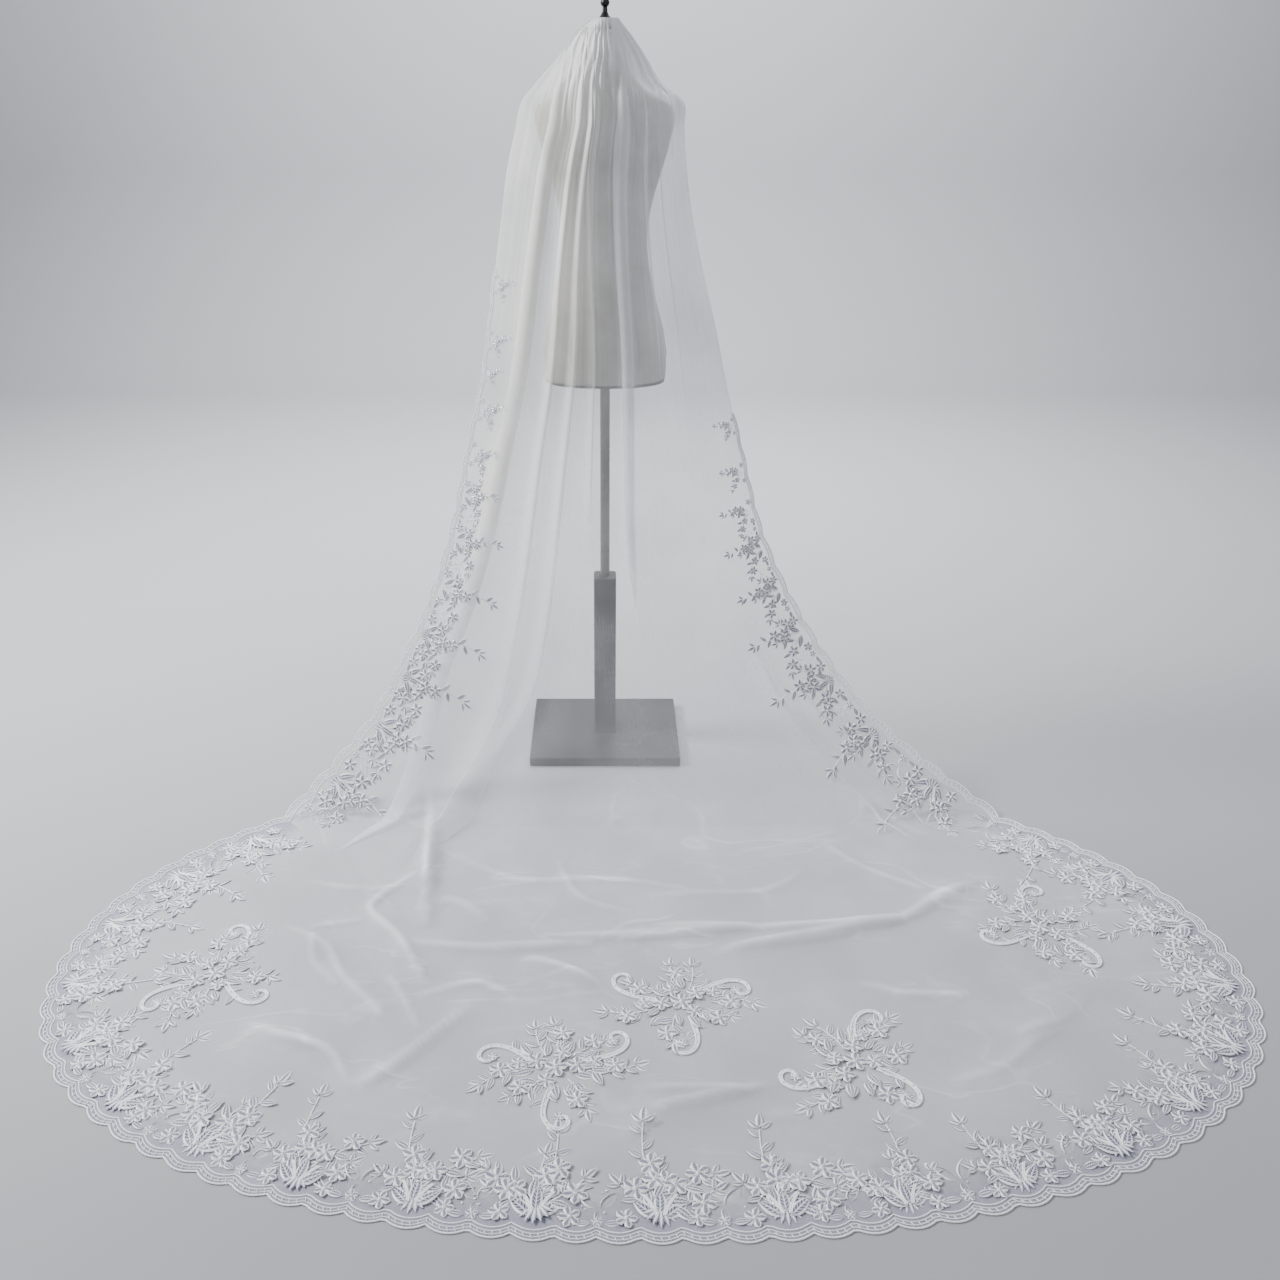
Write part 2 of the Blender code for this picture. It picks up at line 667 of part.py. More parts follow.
def add_wall(name, grid, normals, rows, columns):
    """A wall of tulle from a block of the grid, parted from its neighbours by half a seam."""
    first_row, last_row = rows
    first_column, last_column = columns
    block = grid[first_row : last_row + 1, first_column : last_column + 1].copy()
    facing = normals[first_row : last_row + 1, first_column : last_column + 1]
    whole = block.copy()

    def pull_in(edge, inward):
        step = whole[inward] - whole[edge]
        step /= np.linalg.norm(step, axis=-1, keepdims=True)
        block[edge] += step * SEAM / 2

    if first_column > 0:
        pull_in((slice(None), 0), (slice(None), 1))
    if last_column < COLUMNS:
        pull_in((slice(None), -1), (slice(None), -2))
    if first_row > 0:
        pull_in((0, slice(None)), (1, slice(None)))
    if last_row < grid.shape[0] - 1:
        pull_in((-1, slice(None)), (-2, slice(None)))
    height, width = block.shape[:2]
    outer = (block + facing * TULLE / 2).reshape(-1, 3)
    inner = (block - facing * TULLE / 2).reshape(-1, 3)
    points = np.concatenate([outer, inner])
    count = height * width
    faces = []
    for row in range(height - 1):
        for column in range(width - 1):
            a = row * width + column
            b, c, d = a + 1, a + width + 1, a + width
            faces += [(a, c, b), (a, d, c)]
            faces += [(count + a, count + b, count + c), (count + a, count + c, count + d)]
    rim = [(0, column) for column in range(width)]
    rim += [(row, width - 1) for row in range(1, height)]
    rim += [(height - 1, column) for column in range(width - 2, -1, -1)]
    rim += [(row, 0) for row in range(height - 2, 0, -1)]
    ring = [row * width + column for row, column in rim]
    for a, b in zip(ring, ring[1:] + ring[:1]):
        faces += [(a, b, count + b), (a, count + b, count + a)]
    return add_piece(name, points, faces, "tulle", math.radians(60))


# Lace


def spray_line(along_start, along_end, inset, repeats, top_of, grow_of, sprays):
    """The lace's inner outline from along_start to along_end: leaves rising from the band,
    with none within the inset at each end."""
    repeat = (along_end - along_start - 2 * inset) / repeats
    points = [(along_start, top_of(along_start))]
    for number in range(repeats):
        for share, lean, length, width, curl, steps in sprays:
            s = along_start + inset + (number + share) * repeat
            grow = grow_of(s)
            root = (s, top_of(s))
            points += arm_outline(root, (1, 0), (0, 1), lean, length * grow, width * grow, curl, steps)
    return points + [(along_end, top_of(along_end))]


def scallop_line(along_start, along_end, count):
    """The scalloped outer edge from along_end back to along_start."""
    points = []
    for step in range(3 * count, -1, -1):
        s = along_start + (along_end - along_start) * step / (3 * count)
        points.append((s, 0.0 if step % 3 == 0 else -SCALLOP_RISE))
    return points


def add_hem_lace():
    samples = 600
    angles = [LEFT_FOOT + (RIGHT_FOOT - LEFT_FOOT) * i / samples for i in range(samples + 1)]
    edge = np.array([train_edge(angle) for angle in angles])
    steps = np.linalg.norm(np.diff(edge, axis=0), axis=1)
    along = np.concatenate([[0.0], np.cumsum(steps)])
    length = along[-1]

    def place(s, d):
        s = min(max(s, 0.0), length)
        x, y = np.interp(s, along, edge[:, 0]), np.interp(s, along, edge[:, 1])
        step = 0.004
        low, high = max(s - step, 0.0), min(s + step, length)
        tangent = Vector((
            np.interp(high, along, edge[:, 0]) - np.interp(low, along, edge[:, 0]),
            np.interp(high, along, edge[:, 1]) - np.interp(low, along, edge[:, 1]),
        )).normalized()
        inward = Vector((-tangent.y, tangent.x))
        end = min(s, length - s)
        across = Vector((1.0 if s < length / 2 else -1.0, -HEM_START_SLOPE))
        share = fade(end, 0.0, HEM_TURN_IN)
        inward = (across * (1 - share) + inward * share).normalized()
        point = Vector((x, y)) + inward * d
        return Vector((point.x, point.y, TULLE + SEAM)), Vector((0.0, 0.0, 1.0))

    start, end = SEAM / 2, length - SEAM / 2
    outline = spray_line(start, end, HEM_INSET, HEM_REPEATS, lambda s: HEM_BAND, lambda s: 1.0, HEM_SPRAYS)
    outline += scallop_line(start, end, HEM_REPEATS * SCALLOPS)
    repeat = (length - 2 * HEM_INSET) / HEM_REPEATS
    gaps = []
    for number in range(HEM_REPEATS):
        for share, away, half_length, half_width, turn in HEM_GAPS:
            s = HEM_INSET + (number + share) * repeat
            gaps.append(gap_outline(s, away, half_length, half_width, turn))
    return add_plate("lace_hem", outline, gaps, [], place, LACE, "lace")


def add_side_lace(name, grid, normals, top_height):
    """Lace up one side edge, on the first columns of grid, from the floor to top_height."""
    last = len(VEIL_SECTIONS) - 1
    points = grid[last::-1]
    facing = normals[last::-1]
    along = np.concatenate([[0.0], np.cumsum(np.linalg.norm(np.diff(points[:, 0], axis=0), axis=1))])
    widths = np.linalg.norm(np.diff(points, axis=1), axis=2)
    away = np.concatenate([np.zeros((len(points), 1)), np.cumsum(widths, axis=1)], axis=1)
    lift = TULLE / 2 + SIDE_LIFT

    def place(s, d):
        s = min(max(s, along[0]), along[-1])
        row = min(int(np.searchsorted(along, s, side="right")) - 1, last - 1)
        down = (s - along[row]) / (along[row + 1] - along[row])
        distances = away[row] * (1 - down) + away[row + 1] * down
        column_at = float(np.interp(max(d, 0.0), distances, np.arange(COLUMNS + 1)))
        column = min(int(column_at), COLUMNS - 1)
        part = column_at - column

        def mix(values):
            low = values[row, column] * (1 - part) + values[row, column + 1] * part
            high = values[row + 1, column] * (1 - part) + values[row + 1, column + 1] * part
            return low * (1 - down) + high * down

        point = mix(points)
        normal = Vector(mix(facing)).normalized()
        if d < 0:
            outward = points[row, 0] * (1 - down) + points[row + 1, 0] * down
            outward -= points[row, 1] * (1 - down) + points[row + 1, 1] * down
            point = point + outward / np.linalg.norm(outward) * -d
        return Vector(point) + normal * lift, normal

    heights = points[:, 0, 2]
    length = float(np.interp(top_height, heights, along))
    repeats = max(int(round(length / SIDE_REPEAT)), 1)

    def share_up(s):
        return s / length

    def top_of(s):
        return SIDE_BAND[1] + (SIDE_BAND[0] - SIDE_BAND[1]) * share_up(s)

    def grow_of(s):
        return SIDE_GROW[1] + (SIDE_GROW[0] - SIDE_GROW[1]) * share_up(s)

    outline = spray_line(SEAM / 2, length, 0.0, repeats, top_of, grow_of, SIDE_SPRAYS)
    outline += scallop_line(SEAM / 2, length, repeats * SIDE_SCALLOPS)
    gaps = []
    share, height_share, half_length, half_width, turn = SIDE_GAP
    for number in range(repeats):
        s = (number + share) * length / repeats
        grow = grow_of(s)
        size = min(1.0, top_of(s) / SIDE_BAND[1] + 0.1)
        gaps.append(gap_outline(s, top_of(s) * height_share, half_length * grow, half_width * size, turn))
    creases = [((s, -SCALLOP_RISE * 2), (s, 0.2)) for s in along[1:] if s < length - 0.01]
    return add_plate(name, outline, gaps, creases, place, LACE, "lace")


def add_motif(number, middle_x, middle_y, turn, size):
    """A large motif of leaves and curled cords round a flower cluster, flat on the train."""
    cos, sin = math.cos(turn), math.sin(turn)

    def place(x, y):
        point = (middle_x + size * (x * cos - y * sin), middle_y + size * (x * sin + y * cos))
        return Vector((*point, TULLE + SEAM)), Vector((0.0, 0.0, 1.0))

    outline = []
    for degrees, length, width, curl, steps in MOTIF_ARMS:
        angle = math.radians(degrees)
        out = (math.cos(angle), math.sin(angle))
        along = (-out[1], out[0])
        root = (MOTIF_HUB[0] * out[0], MOTIF_HUB[1] * out[1])
        outline += arm_outline(root, along, out, 0.0, length, width, curl, steps)
    gaps = []
    for degrees, distance, half_length, half_width in MOTIF_GAPS:
        angle = math.radians(degrees)
        gaps.append(gap_outline(
            distance * math.cos(angle), distance * math.sin(angle), half_length, half_width, angle
        ))
    return add_plate(f"motif_{number}", outline, gaps, [], place, LACE, "lace")


def build():
    clear_scene()
    base_middle = (0.0, 0.005, BASE_THICK / 2)
    add_block("base_plate", (BASE_WIDTH, BASE_DEPTH, BASE_THICK), base_middle, BASE_BEVEL, "painted")
    add_sleeve()
    add_collar()
    pole_top = TORSO_BOTTOM - SEAM - BOARD_THICK - SEAM
    add_turned("pole", ((POLE_RADIUS, POLE_FOOT), (POLE_RADIUS, pole_top)), 24, "steel")
    add_bottom_board()
    add_torso()
    add_neck_cap()
    add_finial()
    add_comb()

    grid, normals = veil_surface()
    last_section = len(VEIL_SECTIONS) - 1
    first, second = SPLIT_COLUMNS
    add_wall("tulle_drop_left", grid, normals, (0, last_section), (0, first))
    add_wall("tulle_drop_middle", grid, normals, (0, last_section), (first, second))
    add_wall("tulle_drop_right", grid, normals, (0, last_section), (second, COLUMNS))
    add_wall("tulle_train", grid, normals, (last_section, grid.shape[0] - 1), (0, COLUMNS))
    add_side_lace("lace_side_left", grid, normals, LEFT_LACE_TOP)
    add_side_lace("lace_side_right", grid[:, ::-1], normals[:, ::-1], RIGHT_LACE_TOP)
    add_hem_lace()
    for number, motif in enumerate(MOTIFS, start=1):
        add_motif(number, *motif)


if __name__ == "__main__":
    build()
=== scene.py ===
import json
import math
import random

import bmesh
import bpy
import numpy as np
from mathutils import Matrix, Vector
from mathutils.bvhtree import BVHTree

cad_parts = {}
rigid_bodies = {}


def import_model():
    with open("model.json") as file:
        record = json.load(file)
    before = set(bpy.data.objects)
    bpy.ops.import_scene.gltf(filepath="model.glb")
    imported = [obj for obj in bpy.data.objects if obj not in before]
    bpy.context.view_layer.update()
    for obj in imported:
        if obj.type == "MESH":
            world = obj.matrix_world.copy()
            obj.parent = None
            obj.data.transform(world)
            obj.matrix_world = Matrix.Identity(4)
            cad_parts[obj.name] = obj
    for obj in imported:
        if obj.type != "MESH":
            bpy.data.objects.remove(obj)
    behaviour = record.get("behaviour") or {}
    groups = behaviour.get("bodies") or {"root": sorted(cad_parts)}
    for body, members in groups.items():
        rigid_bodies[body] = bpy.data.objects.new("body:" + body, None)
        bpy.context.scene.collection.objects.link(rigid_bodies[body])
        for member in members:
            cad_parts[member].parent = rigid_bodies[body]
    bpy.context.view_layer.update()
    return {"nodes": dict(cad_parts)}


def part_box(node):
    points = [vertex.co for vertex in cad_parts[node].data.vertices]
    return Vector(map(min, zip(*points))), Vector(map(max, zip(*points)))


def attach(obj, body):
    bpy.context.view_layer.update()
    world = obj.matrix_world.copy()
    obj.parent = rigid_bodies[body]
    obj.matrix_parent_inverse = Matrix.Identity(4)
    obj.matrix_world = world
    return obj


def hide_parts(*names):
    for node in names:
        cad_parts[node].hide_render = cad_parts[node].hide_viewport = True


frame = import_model()
nodes = frame["nodes"]
mm = 0.001


# Small helpers


def linearColour(hexCode):
    parts = [int(hexCode[i : i + 2], 16) / 255 for i in (1, 3, 5)]
    linear = [p / 12.92 if p <= 0.04045 else ((p + 0.055) / 1.055) ** 2.4 for p in parts]
    return (*linear, 1.0)


def setInputs(tree, node, inputs):
    # an input is a value, a socket to link, or a node for its first output
    for key, value in inputs.items():
        if isinstance(value, bpy.types.Node):
            value = value.outputs[0]
        if isinstance(value, bpy.types.NodeSocket):
            tree.links.new(value, node.inputs[key])
        else:
            node.inputs[key].default_value = value


def addNode(tree, kind, settings=None, inputs=None):
    node = tree.nodes.new(kind)
    for name, value in (settings or {}).items():
        setattr(node, name, value)
    setInputs(tree, node, inputs or {})
    return node


def mathNode(tree, operation, *values, clamp=False):
    settings = {"operation": operation, "use_clamp": clamp}
    return addNode(tree, "ShaderNodeMath", settings, dict(enumerate(values)))


def rangeNode(tree, value, start, end, low=0.0, high=1.0, blend="LINEAR"):
    # what runs from start to end comes out from low to high
    return addNode(tree, "ShaderNodeMapRange", {"interpolation_type": blend},
                   {"Value": value, "From Min": start, "From Max": end, "To Min": low, "To Max": high})


def noiseNode(tree, place, scale, detail, distortion=0.0):
    return addNode(tree, "ShaderNodeTexNoise", None,
                   {"Vector": place, "Scale": scale, "Detail": detail, "Distortion": distortion})


def bumpNode(tree, height, strength, distance):
    return addNode(tree, "ShaderNodeBump", None,
                   {"Height": height, "Strength": strength, "Distance": distance})


def mixNode(tree, share, first, second):
    return addNode(tree, "ShaderNodeMix", {"data_type": "RGBA"}, {0: share, 6: first, 7: second}).outputs[2]


def mottled(tree, noise, colour, darkest):
    # a colour that goes down to a share of itself where the noise is low
    light = linearColour(colour)
    return mixNode(tree, noise, (*[c * darkest for c in light[:3]], 1.0), light)


def newMaterial(name, colour, roughness):
    material = bpy.data.materials.new(name)
    material.use_nodes = True
    tree = material.node_tree
    shader = tree.nodes["Principled BSDF"]
    setInputs(tree, shader, {"Base Color": linearColour(colour), "Roughness": roughness})
    return material, tree, shader


def smooth(value, start, width):
    t = np.clip((value - start) / width, 0.0, 1.0)
    return t * t * (3 - 2 * t)


def newObject(name, data):
    thing = bpy.data.objects.new(name, data)
    bpy.context.scene.collection.objects.link(thing)
    return thing


def newPiece(name, points, faces, material):
    mesh = bpy.data.meshes.new(name)
    mesh.from_pydata([tuple(p) for p in points], [], faces)
    mesh.materials.append(material)
    mesh.shade_smooth()
    return newObject(name, mesh)


def gridFaces(rows, columns):
    # wound so that the faces look along cross(down the rows, across the columns)
    faces = []
    for row in range(rows - 1):
        for column in range(columns - 1):
            a = row * columns + column
            faces.append((a, a + columns, a + columns + 1, a + 1))
    return faces


# Camera, light and floor

studio = {
    "cameraPlace": (0.0, -2.8, 1.6),
    "cameraTilt": 65.0,  # degrees up from straight down
    "focalLength": 32.34,
    "shiftX": 35 / 1280,  # the pole stands left of the picture's middle
    # name, power, place, what it is aimed at, size
    "lights": (
        ("keyLight", 300.0, (-3.4, -0.2, 3.0), (0.1, -0.9, 0.2), 1.1),
        ("fillLight", 50.0, (2.8, -3.8, 2.8), (0.0, -0.8, 0.4), 3.0),
        ("backLight", 95.0, (0.6, 2.8, 3.4), (0.0, -0.2, 0.8), 2.0),
        ("wallLight", 680.0, (0.0, 1.8, 4.6), (0.0, 5.6, 1.8), 4.0),
    ),
    "skyColour": "#e8ecf2",
    "skyStrength": 0.46,
    # the paper lies flat from front to back, bends up at the back and ends at its height
    "floorColour": "#a0a2a6",
    "floorSide": 9.0,
    "floorFront": -9.0,
    "floorBack": 4.2,
    "floorBend": 1.2,
    "floorHeight": 8.0,
    "bendSteps": 12,
}


def makeCamera():
    camera = newObject("camera", bpy.data.cameras.new("camera"))
    camera.location = studio["cameraPlace"]
    camera.rotation_euler = (math.radians(studio["cameraTilt"]), 0.0, 0.0)
    camera.data.lens = studio["focalLength"]
    camera.data.sensor_width = 36.0
    camera.data.shift_x = studio["shiftX"]
    camera.data.clip_end = 100.0
    bpy.context.scene.camera = camera


def makeLight(name, power, place, aim, size):
    light = newObject(name, bpy.data.lights.new(name, "AREA"))
    light.data.energy = power
    light.data.size = size
    light.location = place
    light.rotation_mode = "QUATERNION"
    light.rotation_quaternion = (Vector(aim) - Vector(place)).to_track_quat("-Z", "Y")


def makeStudio():
    makeCamera()
    for light in studio["lights"]:
        makeLight(*light)
    world = bpy.data.worlds.new("studio")
    world.use_nodes = True
    setInputs(world.node_tree, world.node_tree.nodes["Background"],
              {"Color": linearColour(studio["skyColour"]), "Strength": studio["skyStrength"]})
    bpy.context.scene.world = world
    material, tree, shader = newMaterial("matt studio paper", studio["floorColour"], 0.9)
    place = addNode(tree, "ShaderNodeTexCoord").outputs["Object"]
    paper = mottled(tree, noiseNode(tree, place, 3.0, 3.0), studio["floorColour"], 0.97)
    setInputs(tree, shader, {"Base Color": paper})
    back, bend = studio["floorBack"], studio["floorBend"]
    profile = [(studio["floorFront"], 0.0), (back, 0.0)]
    for step in range(1, studio["bendSteps"] + 1):
        angle = math.pi / 2 * step / studio["bendSteps"]
        profile.append((back + bend * math.sin(angle), bend * (1 - math.cos(angle))))
    profile.append((back + bend, studio["floorHeight"]))
    points = [(x, y, z) for y, z in profile for x in (studio["floorSide"], -studio["floorSide"])]
    floor = newPiece("studioFloor", points, gridFaces(len(profile), 2), material)
    print("studio made")


makeStudio()


# Tulle: one sheet from the gathers at the comb to the hem of the train

veil = {
    # height, left x, right x, edge y, middle y, gather depth
    "sections": (
        (1.7640, -0.024, 0.028, -0.046, -0.058, 0.0010),
        (1.7480, -0.048, 0.042, -0.040, -0.062, 0.0025),
        (1.7260, -0.073, 0.062, -0.028, -0.068, 0.0040),
        (1.6900, -0.100, 0.089, -0.016, -0.084, 0.0060),
        (1.6400, -0.150, 0.124, -0.006, -0.106, 0.0060),
        (1.6020, -0.184, 0.174, -0.002, -0.120, 0.0050),
        (1.5490, -0.198, 0.176, -0.004, -0.130, 0.0040),
        (1.4630, -0.220, 0.184, -0.011, -0.138, 0.0030),
        (1.3660, -0.235, 0.199, -0.020, -0.143, 0.0020),
        (1.2500, -0.254, 0.226, -0.032, -0.149, 0.0010),
        (1.1210, -0.272, 0.260, -0.049, -0.155, 0.0),
        (1.0000, -0.292, 0.288, -0.065, -0.161, 0.0),
        (0.8300, -0.333, 0.332, -0.092, -0.174, 0.0),
        (0.6440, -0.376, 0.384, -0.126, -0.194, 0.0),
        (0.4720, -0.436, 0.467, -0.164, -0.222, 0.0),
        (0.3190, -0.512, 0.568, -0.212, -0.258, 0.0),
        (0.2100, -0.574, 0.664, -0.258, -0.296, 0.0),
        (0.1300, -0.644, 0.762, -0.304, -0.334, 0.0),
        (0.0650, -0.712, 0.860, -0.348, -0.374, 0.0),
        (0.0200, -0.764, 0.940, -0.388, -0.414, 0.0),
        (0.0000, -0.793, 0.973, -0.420, -0.450, 0.0),
    ),
    "wrap": 2.2,
    "lift": 0.6 * mm,
    # across at the shoulder, the hip and the floor, top height, foot height, how far it stands out,
    # half width of the swell, overlap at the shoulder and at the floor in mm, side of the front edge
    "folds": (
        ((-0.48, -0.69, -0.82), 1.72, -0.20, 0.018, 0.080, 19, 36, -1),
        ((-0.20, -0.42, -0.46), 1.70, -0.20, 0.013, 0.050, 7, 13, -1),
        ((-0.09, -0.245, -0.38), 1.70, -0.20, 0.013, 0.050, 7, 13, 1),
        ((-0.03, -0.08, -0.13), 1.72, 0.60, 0.010, 0.050, 7, 8, 1),
        ((0.27, 0.19, 0.10), 1.72, 0.40, 0.013, 0.055, 21, 14, -1),
        ((0.52, 0.45, 0.34), 1.70, 0.95, 0.010, 0.050, 6, 6, 1),
        ((0.68, 0.63, 0.55), 1.62, 0.75, 0.008, 0.060, 5, 5, -1),
        ((0.80, 0.75, 0.66), 0.46, -0.20, 0.014, 0.050, 0, 18, 1),
        ((0.92, 0.87, 0.78), 0.40, -0.20, 0.012, 0.045, 0, 16, -1),
    ),
    # where the left folds meet on the floor, how far they are drawn there, and from which height
    "knot": (-0.62, 0.60, 0.34),
    # above this height the folds keep their place from side to side, drawn in by this share at the comb
    "combHeight": 1.56,
    "combPull": 0.30,
    "foldFade": 0.20,
    "runOut": 0.30,
    "foldGap": 0.25,  # least cloth between two folds, as a share of a fold's own
    "trainHalf": (0.90, 0.25),  # half width of the cloth where the train starts, and what it gains
    "turnHeight": 0.11,  # below this height the outer side of the drop turns upward
    "footHeight": 0.09,  # below this height the folds' layers lie on each other
    "laceHeight": 0.14,  # up to this height the lace also holds the drop's edges flat
    # the middle of the foot stays free of the lace: across, fade, along the train, fade
    "freeFoot": (0.62, 0.16, 0.02, 0.30),
    "layerGap": 1.6 * mm,
    # count across, phase, share of the ripple depth
    "ripples": ((19, 0.4, 0.45), (31, 1.9, 0.35), (47, 4.0, 0.20)),
    "rippleDepth": 1.3 * mm,
    "columns": 420,
    "foldColumns": 15,
    "rowsBetweenSections": 4,
    "trainRows": 152,
    "looseRows": (0.90, 0.78),  # this share of the rows lies in this share of the train's length
    # how much of the light the net stops: height, at the left edge, in the middle, at the right edge
    "cover": (
        (1.764, 0.80, 0.90, 0.82),
        (1.700, 0.52, 0.78, 0.78),
        (1.600, 0.36, 0.62, 0.72),
        (1.400, 0.33, 0.46, 0.60),
        (1.200, 0.30, 0.38, 0.52),
        (1.000, 0.28, 0.32, 0.43),
        (0.700, 0.26, 0.27, 0.29),
        (0.300, 0.22, 0.22, 0.23),
        (0.120, 0.24, 0.24, 0.24),
        (0.000, 0.27, 0.27, 0.27),
    ),
    "trainCover": 0.27,
    "leftCover": (0.42, 0.28),  # where the left edge's cover starts to come in, and over how much
    "rightCover": (0.45, 0.35),
    # painted highlight: the net is made thicker along the crests of the folds, ridges and creases so that
    # they read bright
    "paintedCrestCover": 0.40,
    "crestHeight": 0.10,  # the folds' crests catch the light up to this height
    "coverLimit": 0.97,
    "tiltLimit": 0.30,
    "edgeCover": 0.22,
    "edgeBand": (0.980, 0.018),
    # dark gaps between the gathers: across and half width of each, their height and half height, depth
    "slits": ((-0.30, 0.045), (-0.12, 0.03), (0.10, 0.03), (0.30, 0.05)),
    "slitHeights": (1.742, 0.007),
    "slitDepth": 0.8,
    # the net over the left shoulder is a single layer, thinned further so that the shade under the shoulder
    # shows dark: partly painted shade
    "thinShadeDepth": 0.45,  # the single layer over the left shoulder
    "warmColour": "#f1efe8",
    "coolColour": "#f0f1f8",
    "flatCut": (2.45, 2.95),
    "flatArea": 4.6,
}

train = {
    "centre": (0.090, -0.920),
    "halfWidth": 1.200,
    "front": 0.651,
    "back": 0.738,
    "roundFront": 2.2,
    "roundBack": 2.0,
    "footRise": 0.500,
    "sideAngle": math.radians(32),
    "length": 1.13,
    # start x, start y, end x, end y, height, half width of each ridge
    "ridges": (
        (-0.94, -0.75, -0.50, -0.42, 0.010, 0.050),
        (-0.43, -0.40, -0.39, -0.84, 0.022, 0.032),
        (-0.50, -0.76, -0.37, -1.02, 0.012, 0.045),
        (-0.67, -0.84, -0.43, -1.09, 0.012, 0.050),
        (-0.74, -1.10, -0.44, -1.29, 0.009, 0.050),
        (-0.48, -1.29, -0.22, -1.03, 0.008, 0.050),
        (-0.41, -0.88, -0.02, -0.88, 0.010, 0.040),
        (-0.13, -0.86, 0.32, -0.83, 0.010, 0.040),
        (0.20, -0.93, 0.64, -0.80, 0.012, 0.042),
        (0.64, -0.80, 0.87, -0.65, 0.012, 0.040),
        (-0.17, -0.93, 0.01, -1.03, 0.012, 0.036),
        (0.02, -1.37, 0.25, -1.27, 0.010, 0.040),
        (0.78, -1.16, 1.02, -0.96, 0.014, 0.042),
    ),
    # height, half width and route of each fine crease
    "creases": (
        (0.010, 0.018, ((-0.44, -0.34), (-0.41, -0.62), (-0.39, -0.83))),
        (0.009, 0.017, ((-0.43, -0.64), (-0.50, -0.72), (-0.51, -0.78), (-0.43, -0.88), (-0.36, -1.01))),
        (0.006, 0.015, ((-0.44, -0.98), (-0.40, -1.04), (-0.35, -1.14))),
        (0.007, 0.017, ((-0.69, -0.82), (-0.58, -0.90), (-0.53, -0.99), (-0.42, -1.10))),
        (0.006, 0.015, ((-0.62, -0.85), (-0.60, -0.94), (-0.53, -1.02))),
        (0.009, 0.018, ((-0.73, -1.09), (-0.63, -1.14), (-0.52, -1.18), (-0.46, -1.27))),
        (0.007, 0.017, ((-0.52, -1.24), (-0.46, -1.27), (-0.38, -1.21), (-0.26, -1.06))),
        (0.008, 0.016, ((-0.52, -1.28), (-0.42, -1.32), (-0.28, -1.34), (-0.20, -1.32))),
        (0.007, 0.016, ((-0.27, -1.18), (-0.19, -1.13), (-0.12, -1.08), (-0.03, -1.07))),
        (0.009, 0.017, ((-0.17, -0.93), (-0.07, -0.97), (0.01, -1.03), (0.06, -1.12))),
        (0.007, 0.016, ((-0.41, -0.88), (-0.24, -0.90), (-0.02, -0.88))),
        (0.007, 0.016, ((-0.37, -1.04), (-0.26, -1.00), (-0.18, -1.04))),
        (0.007, 0.015, ((-0.13, -0.86), (0.06, -0.86), (0.32, -0.83))),
        (0.007, 0.024, ((-0.38, -0.75), (-0.33, -0.74), (-0.25, -0.81))),
        (0.006, 0.018, ((-0.48, -0.69), (-0.60, -0.69), (-0.71, -0.66), (-0.79, -0.73), (-0.89, -0.80))),
        (0.009, 0.022, ((-0.43, -0.30), (-0.57, -0.42), (-0.70, -0.53), (-0.81, -0.64), (-0.89, -0.72))),
        (0.005, 0.014, ((-0.63, -0.83), (-0.52, -0.80))),
        (0.007, 0.015, ((0.02, -1.39), (0.09, -1.32), (0.16, -1.30), (0.27, -1.27), (0.36, -1.24))),
        (0.006, 0.015, ((0.04, -1.27), (0.14, -1.27), (0.27, -1.28))),
        (0.009, 0.018, ((0.10, -0.83), (0.36, -0.83), (0.52, -0.82), (0.64, -0.80),
                        (0.74, -0.73), (0.87, -0.65))),
        (0.008, 0.017, ((0.20, -0.93), (0.29, -0.89), (0.44, -0.86), (0.54, -0.83), (0.64, -0.80))),
        (0.009, 0.017, ((1.07, -0.93), (1.00, -0.98), (0.95, -1.04), (0.88, -1.10), (0.78, -1.14))),
        (0.008, 0.018, ((0.62, -1.26), (0.71, -1.23), (0.77, -1.19), (0.82, -1.15), (0.92, -1.11))),
        (0.006, 0.018, ((0.51, -1.00), (0.60, -1.03), (0.73, -1.03))),
        (0.006, 0.015, ((0.86, -1.19), (0.94, -1.22), (1.03, -1.22))),
        (0.005, 0.018, ((0.10, -0.72), (0.21, -0.71), (0.36, -0.70), (0.46, -0.62))),
        (0.008, 0.018, ((0.94, -0.60), (1.00, -0.62), (1.05, -0.70))),
        (0.009, 0.022, ((0.67, -0.37), (0.71, -0.42), (0.78, -0.48), (0.88, -0.52))),
        (0.006, 0.014, ((0.28, -1.33), (0.41, -1.32))),
        (0.006, 0.014, ((0.60, -1.29), (0.66, -1.29))),
        (0.005, 0.018, ((-0.36, -0.56), (-0.20, -0.66), (0.02, -0.66), (0.20, -0.70))),
        (0.005, 0.016, ((-0.12, -0.56), (-0.06, -0.72), (0.06, -0.78))),
        (0.006, 0.018, ((0.52, -0.52), (0.60, -0.62), (0.72, -0.70))),
        (0.005, 0.014, ((-0.20, -1.40), (-0.06, -1.41), (0.02, -1.39))),
    ),
    # the painted highlight along the crests of the ridges and of the creases: how strong it is, and how much
    # narrower it is than they are
    "ridgeCatch": (5, 3.0),
    "creaseCatch": (92, 1.95),
    "flatHem": 0.15,
    "flatMotif": 0.13,
    "flatFade": 0.08,
}
footAngle = math.asin(train["footRise"] / train["back"])
leftFoot = math.pi - footAngle
rightFoot = math.tau + footAngle


def trainEdge(angle):
    # a place on the train's outline: 0 is its right end, three quarters of a turn its front
    cos, sin = np.cos(angle), np.sin(angle)
    front = sin < 0
    power = np.where(front, 2 / train["roundFront"], 2 / train["roundBack"])
    deep = np.where(front, train["front"], train["back"])
    x = train["centre"][0] + train["halfWidth"] * np.copysign(np.abs(cos) ** power, cos)
    y = train["centre"][1] + deep * np.copysign(np.abs(sin) ** power, sin)
    return np.stack([x, y], axis=-1)


